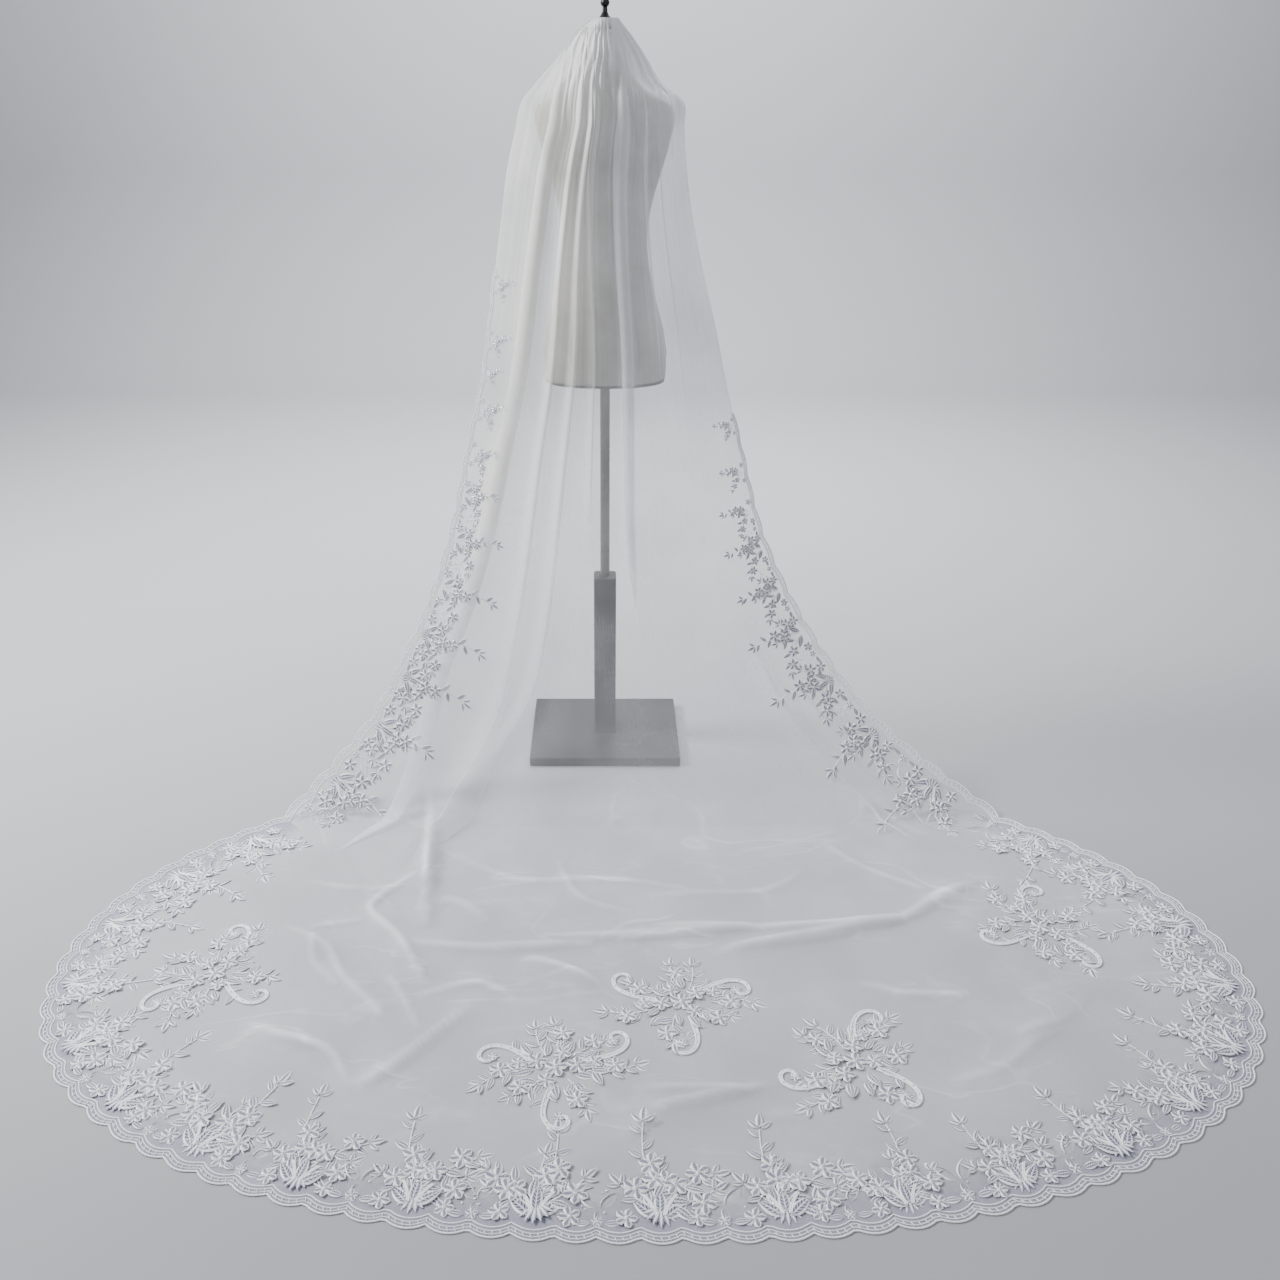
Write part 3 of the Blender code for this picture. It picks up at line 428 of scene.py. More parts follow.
def splineRows(table, places):
    # a smooth curve through the rows of a table, read at row numbers that may be fractions
    table = np.array(table, float)
    low = np.clip(np.floor(places).astype(int), 0, len(table) - 2)
    t = (places - low)[:, None]
    a, b = table[np.maximum(low - 1, 0)], table[low]
    c, d = table[low + 1], table[np.minimum(low + 2, len(table) - 1)]
    return 0.5 * (2 * b + (c - a) * t + (2 * a - 5 * b + 4 * c - d) * t**2 + (3 * b - a - 3 * c + d) * t**3)


sectionRows = len(veil["sections"]) - 1
dropRows = sectionRows * veil["rowsBetweenSections"]
rowSections = splineRows(veil["sections"], np.linspace(0, sectionRows, dropRows + 1))
rowCount = dropRows + veil["trainRows"] + 1
looseCount, looseLength = veil["looseRows"]
trainShares = np.interp(np.linspace(0, 1, veil["trainRows"] + 1), (0, looseCount, 1), (0, looseLength, 1))


def smoothVeil(across):
    # the veil without folds, at places across from -1 to 1 for each row
    points = np.zeros((*across.shape, 3))
    place = np.clip(across, -1.0, 1.0)
    height, left, right, edgeY, middleY = (rowSections[:, k : k + 1] for k in range(5))
    drop = place[: dropRows + 1]
    points[: dropRows + 1, :, 0] = left + (right - left) * (drop + 1) / 2
    points[: dropRows + 1, :, 1] = middleY + (edgeY - middleY) * np.abs(drop) ** veil["wrap"]
    points[: dropRows + 1, :, 2] = height + veil["lift"]
    startAngle, endAngle = leftFoot + train["sideAngle"], rightFoot - train["sideAngle"]
    foot = rowSections[-1]
    for row in range(dropRows + 1, rowCount):
        w = float(trainShares[row - dropRows])
        q = (place[row][:, None] + 1) / 2
        back = np.stack([
            foot[1] + (foot[2] - foot[1]) * q[:, 0],
            foot[4] + (foot[3] - foot[4]) * np.abs(place[row]) ** veil["wrap"],
        ], axis=-1)
        backLeft, backRight = np.array([foot[1], foot[3]]), np.array([foot[2], foot[3]])
        hem = trainEdge(startAngle + (endAngle - startAngle) * q[:, 0])
        hemLeft, hemRight = trainEdge(np.array([startAngle, endAngle]))
        left = trainEdge(np.array(leftFoot + train["sideAngle"] * w))
        right = trainEdge(np.array(rightFoot - train["sideAngle"] * w))
        spot = (1 - w) * back + w * hem + (1 - q) * left + q * right
        spot -= (1 - q) * ((1 - w) * backLeft + w * hemLeft) + q * ((1 - w) * backRight + w * hemRight)
        points[row, :, :2] = spot
        points[row, :, 2] = veil["lift"]
    return points


def gridNormals(points):
    normals = np.cross(np.gradient(points, axis=0), np.gradient(points, axis=1))
    return normals / np.maximum(np.linalg.norm(normals, axis=2, keepdims=True), 1e-12)


def rowHeights():
    height = np.concatenate([rowSections[:, 0], np.zeros(veil["trainRows"])])
    runOut = np.concatenate([np.zeros(dropRows + 1), train["length"] * trainShares[1:]])
    return height[:, None], runOut[:, None]


def edgesAt(height):
    return [np.interp(height, rowSections[::-1, 0], rowSections[::-1, side]) for side in (1, 2)]


def foldMiddle(fold, height):
    shoulder, hip, floor = fold[0]
    held = np.minimum(height, veil["combHeight"])
    curve = ((shoulder - floor) / 1.6 - (hip - floor)) / 0.6
    middle = floor + held * (hip - floor - curve) + held**2 * curve
    left, right = edgesAt(held)
    x = (left + right + middle * (right - left)) / 2
    x = x * (1 - veil["combPull"] * smooth(height, veil["combHeight"], 0.20))
    left, right = edgesAt(height)
    middle = np.clip((2 * x - left - right) / (right - left), -0.86, 0.86)
    across, pull, top = veil["knot"]
    drawn = pull * smooth(top - height, 0.0, top) if floor < -0.3 else 0.0
    return middle + (across - middle) * drawn


def foldStrength(fold, height, runOut):
    strength = smooth(fold[1] - height, 0.0, veil["foldFade"])
    strength = strength * smooth(height - fold[2], 0.0, veil["foldFade"])
    return strength * (1 - smooth(runOut, 0.0, veil["runOut"]))


def swell(across):
    # how far the large folds and the gathers stand out
    height, runOut = rowHeights()
    out = np.zeros(across.shape)
    for fold in veil["folds"]:
        middle = foldMiddle(fold, height)
        out += fold[3] * foldStrength(fold, height, runOut) * np.exp(-(((across - middle) / fold[4]) ** 2))
    gather = np.concatenate([rowSections[:, 5], np.zeros(veil["trainRows"])])[:, None]
    uneven = 12 * math.pi * (across + 1) + 1.5 * np.sin(5.1 * across + 0.8) + 0.7 * np.sin(13.0 * across)
    return out + gather * (0.5 - 0.5 * np.cos(uneven)) * (0.58 + 0.20 * np.sin(7.3 * across + 2.0))


def alongLine(x, y, route):
    # distance from a line through a few places, and the share of it passed at the nearest one
    lengths = [math.dist(a, b) for a, b in zip(route, route[1:])]
    nearest, share, passed = np.full(x.shape, 9.0), np.zeros(x.shape), 0.0
    for (x0, y0), (x1, y1), length in zip(route, route[1:], lengths):
        t = np.clip(((x - x0) * (x1 - x0) + (y - y0) * (y1 - y0)) / length**2, 0.0, 1.0)
        away = np.hypot(x - x0 - t * (x1 - x0), y - y0 - t * (y1 - y0))
        share = np.where(away < nearest, (passed + t * length) / sum(lengths), share)
        nearest = np.minimum(nearest, away)
        passed += length
    return nearest, share


def looseness(x, y):
    # 0 where lace holds the train flat, 1 away from it
    dx = (x - train["centre"][0]) / train["halfWidth"]
    dy = (y - train["centre"][1]) / np.where(y < train["centre"][1], train["front"], train["back"])
    loose = smooth((1 - np.hypot(dx, dy)) * train["front"], train["flatHem"], train["flatFade"])
    for motif in motifs["places"]:
        loose = loose * smooth(np.hypot(x - motif[0], y - motif[1]), train["flatMotif"], train["flatFade"])
    return loose


def trainRelief(x, y):
    # height of the ridges and creases, and the painted highlight along their crests
    height, crestHighlight = np.zeros(x.shape), np.zeros(x.shape)
    (ridgeLight, ridgeNarrow), (creaseLight, creaseNarrow) = train["ridgeCatch"], train["creaseCatch"]
    for x0, y0, x1, y1, full, half in train["ridges"]:
        away, share = alongLine(x, y, ((x0, y0), (x1, y1)))
        away = away + 0.006 * np.sin(31 * x + 17 * y)
        fading = np.sin(math.pi * np.clip(share, 0.0, 1.0)) ** 0.6
        height = np.maximum(height, full * fading * np.exp(-((away / half) ** 2)))
        crestHighlight = np.maximum(crestHighlight, ridgeLight * full * fading * np.exp(-((away / half * ridgeNarrow) ** 2)))
    for full, half, route in train["creases"]:
        away, share = alongLine(x, y, smoothRoute(route))
        fading = np.sin(math.pi * np.clip(share, 0.0, 1.0)) ** 0.4
        height = height + full * fading * np.exp(-((away / half) ** 2))
        crestHighlight = crestHighlight + creaseLight * full * fading * np.exp(-((away / half * creaseNarrow) ** 2))
    return height, crestHighlight


def smoothRoute(route, steps=5):
    places = np.linspace(0, len(route) - 1, (len(route) - 1) * steps + 1)
    return [tuple(spot) for spot in splineRows(route, places)]


def coverAt(height, across):
    table = np.array(veil["cover"])[::-1]
    left, middle, right = (np.interp(height, table[:, 0], table[:, k]) for k in (1, 2, 3))
    leftShare = smooth(-across, *veil["leftCover"])
    rightShare = smooth(across, *veil["rightCover"])
    return middle + (left - middle) * leftShare + (right - middle) * rightShare


def makeVeil(material):
    folds = sorted(veil["folds"])
    share = veil["foldColumns"] / veil["columns"]
    gap = veil["foldGap"] * share
    spots = []
    for fold in folds:  # where each fold lies in the flat cloth, from 0 to 1
        spot = ((fold[0][0] + fold[0][2]) / 2 + 1) / 2
        if spots:
            spot = max(spot, spots[-1] + share + gap)
        spots.append(spot)
    cloth = np.linspace(0, 1, veil["columns"] + 1)
    height, runOut = rowHeights()
    across = np.zeros((rowCount, len(cloth)))
    layer, bed = np.zeros_like(across), np.zeros_like(across)
    startHalf, gain = veil["trainHalf"]
    halfWidth = np.concatenate([
        (rowSections[:, 2] - rowSections[:, 1]) / 2,
        startHalf + gain * trainShares[1:],
    ])
    for row in range(rowCount):
        h, out = height[row, 0], runOut[row, 0]
        middles, strengths = [], []
        for fold, spot in zip(folds, spots):
            middle = float(foldMiddle(fold, h))
            middle += (2 * spot - 1 - middle) * float(smooth(out, 0.1, 0.9))
            middles.append(max(middle, middles[-1] + 2 * share + gap) if middles else middle)
            strengths.append(float(foldStrength(fold, h, out)))
        limit = 1.0 - share - gap
        for number in range(len(middles) - 1, -1, -1):
            middles[number] = min(middles[number], limit)
            limit = middles[number] - 2 * share - gap
        clothKnots, acrossKnots, layerKnots, bedKnots = [0.0], [-1.0], [0.0], [0.0]
        for fold, spot, middle, strength in zip(folds, spots, middles, strengths):
            clothKnots += [spot - share / 2, spot + share / 2]
            acrossKnots += [middle - share, middle + share]
            front = fold[7] * veil["layerGap"] * strength
            layerKnots += [front, -front]
            bedKnots += [abs(front), abs(front)]
        across[row] = np.interp(cloth, [*clothKnots, 1.0], [*acrossKnots, 1.0])
        layer[row] = np.interp(cloth, [*clothKnots, 1.0], [*layerKnots, 0.0])
        bed[row] = np.interp(cloth, [*clothKnots, 1.0], [*bedKnots, 0.0])
        for fold, spot, strength in zip(folds, spots, strengths):
            t = (cloth - spot) / share + 0.5
            inside = (t > 0) & (t < 1)
            overlap = (fold[5] + (fold[6] - fold[5]) * (1 - h / 1.6)) * mm * strength / halfWidth[row]
            across[row, inside] += overlap * np.sin(math.tau * t[inside])
            layer[row, inside] = fold[7] * veil["layerGap"] * strength * np.cos(math.pi * t[inside])
    base = smoothVeil(across)
    normals = gridNormals(smoothVeil(np.tile(np.linspace(-1, 1, len(cloth)), (rowCount, 1))))
    place = (across + 1) / 2 * veil["columns"]
    low = np.clip(place.astype(int), 0, veil["columns"] - 1)
    part = (np.clip(place, 0, veil["columns"]) - low)[..., None]
    rowIndex = np.arange(rowCount)[:, None]
    facing = normals[rowIndex, low] * (1 - part) + normals[rowIndex, low + 1] * part
    flatten = smooth(veil["turnHeight"] - height, 0.0, veil["turnHeight"])[..., None]
    facing = facing * (1 - flatten) + np.array([0.0, 0.0, 1.0]) * flatten
    facing /= np.linalg.norm(facing, axis=2, keepdims=True)

    ripple = sum(depth * np.sin(math.tau * count * cloth + phase) for count, phase, depth in veil["ripples"])
    wave = 2 * halfWidth[:, None] / veil["ripples"][1][0]
    depth = np.minimum(veil["rippleDepth"], 0.22 * wave) * smooth(height, 0.9, 0.7)
    out = swell(across) + layer + depth * ripple[None, :]
    x, y = base[..., 0], base[..., 1]
    relief, crestHighlight = trainRelief(x, y)
    onTrain = (np.arange(rowCount) >= dropRows)[:, None]
    freeAcross, acrossFade, freeAlong, alongFade = veil["freeFoot"]
    middlePart = 1 - smooth(np.abs(across), freeAcross, acrossFade)
    free = np.maximum(looseness(x, y), (1 - smooth(runOut, freeAlong, alongFade)) * middlePart)
    raised = smooth(height, 0.0, veil["laceHeight"])
    free = np.where(onTrain, free, free[dropRows] + (1 - free[dropRows]) * raised)
    atFoot = 1 - smooth(height, 0.0, veil["footHeight"])
    outOnTrain = np.maximum(out, relief) * free + layer + bed
    outOnDrop = out * free + (bed + layer * (1 - free)) * atFoot
    out = np.where(onTrain, outOnTrain, outOnDrop)
    points = base + facing * out[..., None]
    points[..., 2] = np.maximum(points[..., 2], veil["lift"])

    actual = gridNormals(points)
    tilt = np.clip(np.abs((actual * facing).sum(axis=2)), veil["tiltLimit"], 1.0)
    start = np.where(onTrain, veil["trainCover"], coverAt(height, across))
    # painted highlight: more net along the crests, so that they read bright
    paintedHighlight = veil["paintedCrestCover"] * np.clip(crestHighlight, 0, 1) * free
    catching = onTrain | (height < veil["crestHeight"])
    start = np.clip(start + np.where(catching, paintedHighlight, 0), 0, veil["coverLimit"])
    start = start + veil["edgeCover"] * smooth(np.abs(across), *veil["edgeBand"]) * (1 - start)
    cover = 1 - (1 - start) ** (1 / tilt)
    slits = np.zeros_like(cover)
    slitHeight, slitHalf = veil["slitHeights"]
    for place, width in veil["slits"]:
        inHeight = np.exp(-(((height - slitHeight) / slitHalf) ** 2))
        slits += np.exp(-(((across - place) / width) ** 2)) * inHeight
    cover = cover * (1 - veil["slitDepth"] * np.clip(slits, 0, 1))
    # a single layer over the left shoulder, thinned further so the shade under the shoulder reads as a dark
    # triangle: partly painted shade
    thinShadedPart = smooth(0.98 - np.abs(across + 0.66 + 1.4 * (height - 1.56)), 0.74, 0.16)
    thinShadedPart = thinShadedPart * smooth(height, 1.44, 0.06) * smooth(1.625 - height, 0.0, 0.02)
    cover = cover * (1 - veil["thinShadeDepth"] * thinShadedPart)

    sheet = newPiece("tulleVeil", points.reshape(-1, 3), gridFaces(rowCount, len(cloth)), material)
    layerOfNet = sheet.data.attributes.new("netCover", "FLOAT", "POINT")
    layerOfNet.data.foreach_set("value", cover.astype(np.float32).ravel())
    uv = sheet.data.uv_layers.new(name="cloth")
    corners = np.zeros(len(sheet.data.loops), np.int32)
    sheet.data.loops.foreach_get("vertex_index", corners)
    rowOf, columnOf = corners // len(cloth), corners % len(cloth)
    uvs = np.stack([columnOf / veil["columns"], 1 - rowOf / (rowCount - 1)], axis=-1)
    uv.data.foreach_set("uv", uvs.astype(np.float32).ravel())
    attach(sheet, "root")
    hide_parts("tulle_drop_left", "tulle_drop_middle", "tulle_drop_right", "tulle_train")
    return sheet


def tulleMaterial():
    # Soft nylon net, knitted as fine hexagons: the eye gets a white haze that thickens where layers meet
    material, tree, shader = newMaterial("soft nylon tulle", "#f4f4f6", 0.62)
    place = addNode(tree, "ShaderNodeTexCoord").outputs
    split = addNode(tree, "ShaderNodeSeparateXYZ", None, {0: place["Object"]}).outputs
    toRight = rangeNode(tree, split["X"], -0.25, 0.20, blend="SMOOTHSTEP")
    toFloor = rangeNode(tree, split["Z"], 0.9, 0.2, blend="SMOOTHSTEP")
    cool = mathNode(tree, "MAXIMUM", toRight, toFloor)
    tint = mixNode(tree, cool, linearColour(veil["warmColour"]), linearColour(veil["coolColour"]))
    # fine threads down the drop
    stretch = addNode(tree, "ShaderNodeMapping", None, {"Vector": place["UV"], "Scale": (420.0, 9.0, 1.0)})
    streak = rangeNode(tree, noiseNode(tree, stretch, 1.0, 2.0), 0.3, 0.7, -0.13, 0.13)
    hanging = rangeNode(tree, split["Z"], 0.02, 0.40, blend="SMOOTHSTEP")
    threads = mathNode(tree, "MULTIPLY", streak, hanging)
    cloud = noiseNode(tree, place["Object"], 5.0, 4.0)
    cloudLevel = rangeNode(tree, cloud, 0.3, 0.7, 0.62, 1.38)
    # thin wandering lines on the train, where the net is crumpled on the floor
    drift = addNode(tree, "ShaderNodeMapping", None, {"Vector": place["Object"], "Scale": (1.3, 2.6, 1.0)})
    crumple = noiseNode(tree, drift, 1.7, 3.0, 0.7)
    away = mathNode(tree, "ABSOLUTE", mathNode(tree, "SUBTRACT", crumple, 0.5))
    line = rangeNode(tree, away, 0.022, 0.0, blend="SMOOTHSTEP")
    seen = rangeNode(tree, cloud, 0.44, 0.62, 0.0, 0.55)
    lying = rangeNode(tree, split["Z"], 0.25, 0.03, blend="SMOOTHSTEP")
    lines = mathNode(tree, "MULTIPLY_ADD", line, mathNode(tree, "MULTIPLY", seen, lying), cloudLevel)
    cover = addNode(tree, "ShaderNodeAttribute", {"attribute_name": "netCover"}).outputs["Fac"]
    alpha = mathNode(tree, "MULTIPLY", cover, mathNode(tree, "ADD", lines, threads), clamp=True)
    setInputs(tree, shader, {"Base Color": tint, "Alpha": alpha, "Sheen Weight": 0.35,
                             "Sheen Roughness": 0.45, "Specular IOR Level": 0.25})
    return material


motifs = {
    # middle x, middle y, turn, size
    "places": (
        (0.15, -1.055, 0.35, 1.00),
        (-0.09, -1.225, -0.10, 1.00),
        (0.46, -1.210, 1.15, 1.00),
        (-0.79, -0.975, 0.85, 1.00),
        (0.93, -0.830, -0.95, 1.00),
    ),
}

sheet = makeVeil(tulleMaterial())
print("tulle made", len(sheet.data.polygons), "faces")


# Lace: the shapes that repeat

lace = {
    "cordRadius": 1.1 * mm,
    "lift": 0.9 * mm,
    "leafSize": (0.041, 0.018),
    "flowerPetal": (0.0185, 0.0150),
    "tipLeaf": (0.026, 0.011),
    "fanRib": (0.040, 0.012),
    "beadRadius": 1.9 * mm,
    "sequinRadius": 2.4 * mm,
    # the dark of the grooves between the fill's threads is painted shade
    "grooveShadeColour": "#484a5e",
    "fillColour": "#a8aabf",
    "cordColour": "#fafafe",
}
shapeNames = ("leaf", "openLeaf", "flower", "tip", "fan", "bead", "sequin", "stitch")
shapeNumber = {name: number for number, name in enumerate(shapeNames)}


# across, height and share of white cord at the edges of the strips that make a leaf, a petal or a rib
leafStrips = ((-1.0, 0.0, 0.9), (-0.76, 1.0, 1.0), (-0.42, 0.5, 0.1), (0.0, 1.0, 0.9),
              (0.42, 0.5, 0.1), (0.76, 1.0, 1.0), (1.0, 0.0, 0.9))
petalStrips = ((-1.0, 0.0, 0.9), (-0.62, 1.0, 1.0), (0.0, 0.5, 0.1), (0.62, 1.0, 1.0), (1.0, 0.0, 0.9))
ribStrips = ((-1.0, 0.0, 0.3), (0.0, 1.0, 1.0), (1.0, 0.0, 0.3))


def petalRows(length, width, rows, bulge, root, turn, rise, strips=leafStrips, filled=True):
    # one leaf or petal, laid along +X and turned: a cord round it, a domed fill, a rib down its middle
    points, faces, thread, spots = [], [], [], []
    for row in range(rows + 1):
        t = row / rows
        half = width / 2 * max(math.sin(math.pi * t**bulge) ** 0.75, 0.10)
        for place, height, tone in strips:
            x = root + length * t - 0.06 * length * abs(place) * (t - 0.5)
            y = half * place
            z = rise * height * (0.45 + 0.55 * math.sin(math.pi * t))
            across, ahead = x * math.cos(turn) - y * math.sin(turn), x * math.sin(turn) + y * math.cos(turn)
            points.append((across, ahead, z))
            thread.append(tone)
            spots.append((t, place))
    for row in range(rows):
        for column in range(len(strips) - 1):
            if filled or column in (0, len(strips) - 2):
                a = row * len(strips) + column
                faces.append((a, a + len(strips), a + len(strips) + 1, a + 1))
    return points, faces, thread, spots


def domeRows(radius, sides, rise, tone):
    points, faces, thread, spots = [], [], [], []
    for share, height in ((1.0, 0.0), (0.75, 0.65)):
        for side in range(sides):
            angle = math.tau * side / sides
            points.append((radius * share * math.cos(angle), radius * share * math.sin(angle), rise * height))
    points.append((0.0, 0.0, rise))
    for side in range(sides):
        following = (side + 1) % sides
        faces.append((side, following, sides + following, sides + side))
        faces.append((sides + side, sides + following, 2 * sides))
    return points, faces, [tone] * len(points), [(0.5, 0.0)] * len(points)


def joined(parts):
    points, faces, thread, spots = [], [], [], []
    for part in parts:
        start = len(points)
        points += part[0]
        faces += [tuple(start + corner for corner in face) for face in part[1]]
        thread += part[2]
        spots += part[3]
    return points, faces, thread, spots


def shapeParts(name):
    if name == "leaf":
        return petalRows(*lace["leafSize"], 6, 0.80, 0.0, 0.0, 2.2 * mm)
    if name == "openLeaf":
        return petalRows(*lace["leafSize"], 6, 0.80, 0.0, 0.0, 2.0 * mm, filled=False)
    if name == "flower":
        turns = [math.tau * k / 5 for k in range(5)]
        petals = [
            petalRows(*lace["flowerPetal"], 3, 1.25, 0.002, turn, 2.6 * mm, petalStrips) for turn in turns
        ]
        return joined([*petals, domeRows(0.0042, 5, 4.2 * mm, 1.0)])
    if name == "tip":
        turns = ((0.0, 1.0), (0.85, 0.75), (-0.85, 0.75))
        length, width = lace["tipLeaf"]
        return joined([
            petalRows(length * s, width * s, 4, 0.85, 0.003, turn, 1.8 * mm, petalStrips) for turn, s in turns
        ])
    if name == "fan":
        length, width = lace["fanRib"]
        turns = [(k - 3) * 0.36 for k in range(7)]
        return joined([
            petalRows(length * (1 - 0.18 * abs(turn)), width, 4, 1.15, 0.006, turn, 2.0 * mm, ribStrips)
            for turn in turns
        ])
    if name == "bead":
        return domeRows(lace["beadRadius"], 6, 3.0 * mm, 1.0)
    if name == "sequin":
        return domeRows(lace["sequinRadius"], 5, 0.7 * mm, 1.0)
    bar = ((-0.0032, -0.0005, 0), (0.0032, -0.0005, 0), (0.0032, 0.0005, 0), (-0.0032, 0.0005, 0),
           (-0.0028, 0, 0.0011), (0.0028, 0, 0.0011))
    return list(bar), [(0, 1, 5, 4), (2, 3, 4, 5), (1, 2, 5), (3, 0, 4)], [1.0] * 6, [(0.5, 0.0)] * 6


def makeShapes():
    shapes = bpy.data.collections.new("laceShapes")
    bpy.context.scene.collection.children.link(shapes)
    for name, number in shapeNumber.items():
        points, faces, thread, spots = shapeParts(name)
        mesh = bpy.data.meshes.new(f"shape{number}{name}")
        mesh.from_pydata(points, [], faces)
        mesh.shade_smooth()
        mesh.attributes.new("thread", "FLOAT", "POINT").data.foreach_set("value", thread)
        rib = mesh.attributes.new("rib", "FLOAT_VECTOR", "POINT")
        rib.data.foreach_set("vector", [value for t, place in spots for value in (t, place, 0.0)])
        shapes.objects.link(bpy.data.objects.new(mesh.name, mesh))
    return shapes


def laceMaterial():
    # Corded polyester lace: glossy white cords round a duller satin fill, with painted shade in the dark
    # grooves between its threads
    material, tree, shader = newMaterial("corded polyester lace", lace["cordColour"], 0.42)
    gap, fill, cord = (linearColour(lace[name]) for name in ("grooveShadeColour", "fillColour", "cordColour"))
    thread = addNode(tree, "ShaderNodeAttribute", {"attribute_name": "thread"}).outputs["Fac"]
    rib = addNode(tree, "ShaderNodeAttribute", {"attribute_name": "rib"}).outputs["Vector"]
    split = addNode(tree, "ShaderNodeSeparateXYZ", None, {0: rib}).outputs
    # stripes across the fill: painted shade in the grooves between its threads
    slant = mathNode(tree, "MULTIPLY_ADD", mathNode(tree, "ABSOLUTE", split["Y"]), -0.22, split["X"])
    sine = mathNode(tree, "SINE", mathNode(tree, "MULTIPLY", slant, 44.0))
    ribsAndShade = mixNode(tree, rangeNode(tree, sine, -0.2, 0.5), gap, fill)
    place = addNode(tree, "ShaderNodeTexCoord").outputs["Object"]
    bump = bumpNode(tree, noiseNode(tree, place, 700.0, 2.0), 0.5, 0.5 * mm)
    setInputs(tree, shader, {"Base Color": mixNode(tree, rangeNode(tree, thread, 0.58, 0.90), ribsAndShade, cord),
                             "Normal": bump, "Sheen Weight": 0.3})
    return material


def beadMaterial():
    # Glass beads and foil sequins, with the faint rainbow of their thin coat
    material, tree, shader = newMaterial("glass beads and sequins", "#eef0fb", 0.18)
    setInputs(tree, shader, {"Metallic": 0.35, "Coat Weight": 0.6,
                             "Thin Film Thickness": 420.0, "Thin Film IOR": 1.45})
    return material


def sewingTree():
    # layout points take a shape each, layout edges become cords, and both get their material
    tree = bpy.data.node_groups.new("sewLace", "GeometryNodeTree")
    for name, kind in (("Layout", "Geometry"), ("Shapes", "Collection"), ("Cord Radius", "Float"),
                       ("Lace", "Material"), ("Beads", "Material")):
        tree.interface.new_socket(name, in_out="INPUT", socket_type=f"NodeSocket{kind}")
    tree.interface.new_socket("Sewn", in_out="OUTPUT", socket_type="NodeSocketGeometry")
    given = addNode(tree, "NodeGroupInput").outputs

    def ofPoint(name, kind):
        return addNode(tree, "GeometryNodeInputNamedAttribute", {"data_type": kind}, {"Name": name})

    def kindIs(operation, limit):
        return addNode(tree, "FunctionNodeCompare", {"data_type": "INT", "operation": operation},
                       {2: kind, 3: limit})

    kind, turn, size = ofPoint("kind", "INT"), ofPoint("turn", "FLOAT_VECTOR"), ofPoint("size", "FLOAT")
    shapes = addNode(tree, "GeometryNodeCollectionInfo", None,
                     {"Collection": given["Shapes"], "Separate Children": True, "Reset Children": True})
    rotation = addNode(tree, "FunctionNodeEulerToRotation", None, {0: turn})
    placed = addNode(tree, "GeometryNodeInstanceOnPoints", None, {
        "Points": given["Layout"], "Selection": kindIs("GREATER_EQUAL", 0), "Instance": shapes,
        "Pick Instance": True, "Instance Index": kind, "Rotation": rotation, "Scale": size,
    })
    realShapes = addNode(tree, "GeometryNodeRealizeInstances", None, {0: placed})
    route = addNode(tree, "GeometryNodeMeshToCurve", None, {0: given["Layout"]})
    thick = addNode(tree, "GeometryNodeSetCurveRadius", None, {0: route, "Radius": size})
    hoop = addNode(tree, "GeometryNodeCurvePrimitiveCircle", None,
                   {"Resolution": 5, "Radius": given["Cord Radius"]})
    cord = addNode(tree, "GeometryNodeCurveToMesh", None, {0: thick, "Profile Curve": hoop})
    if "Scale" in cord.inputs:
        setInputs(tree, cord, {"Scale": size})
    white = addNode(tree, "GeometryNodeStoreNamedAttribute", {"data_type": "FLOAT"},
                    {0: cord, "Name": "thread", "Value": 1.0})
    soft = addNode(tree, "GeometryNodeSetShadeSmooth", None, {0: white})
    both = addNode(tree, "GeometryNodeJoinGeometry", None, {0: realShapes})
    setInputs(tree, both, {0: soft})
    real = addNode(tree, "GeometryNodeRealizeInstances", None, {0: both})
    laced = addNode(tree, "GeometryNodeSetMaterial", None, {0: real, "Material": given["Lace"]})
    isBead = kindIs("GREATER_EQUAL", shapeNumber["bead"])
    beforeStitch = kindIs("LESS_THAN", shapeNumber["stitch"])
    beaded = addNode(tree, "FunctionNodeBooleanMath", {"operation": "AND"}, {0: isBead, 1: beforeStitch})
    done = addNode(tree, "GeometryNodeSetMaterial", None,
                   {0: laced, "Selection": beaded, "Material": given["Beads"]})
    addNode(tree, "NodeGroupOutput", None, {0: done})
    return tree


sewing = {"tree": sewingTree(), "shapes": makeShapes(), "lace": laceMaterial(), "beads": beadMaterial()}


def newLayout():
    return {"shapes": [], "cords": []}


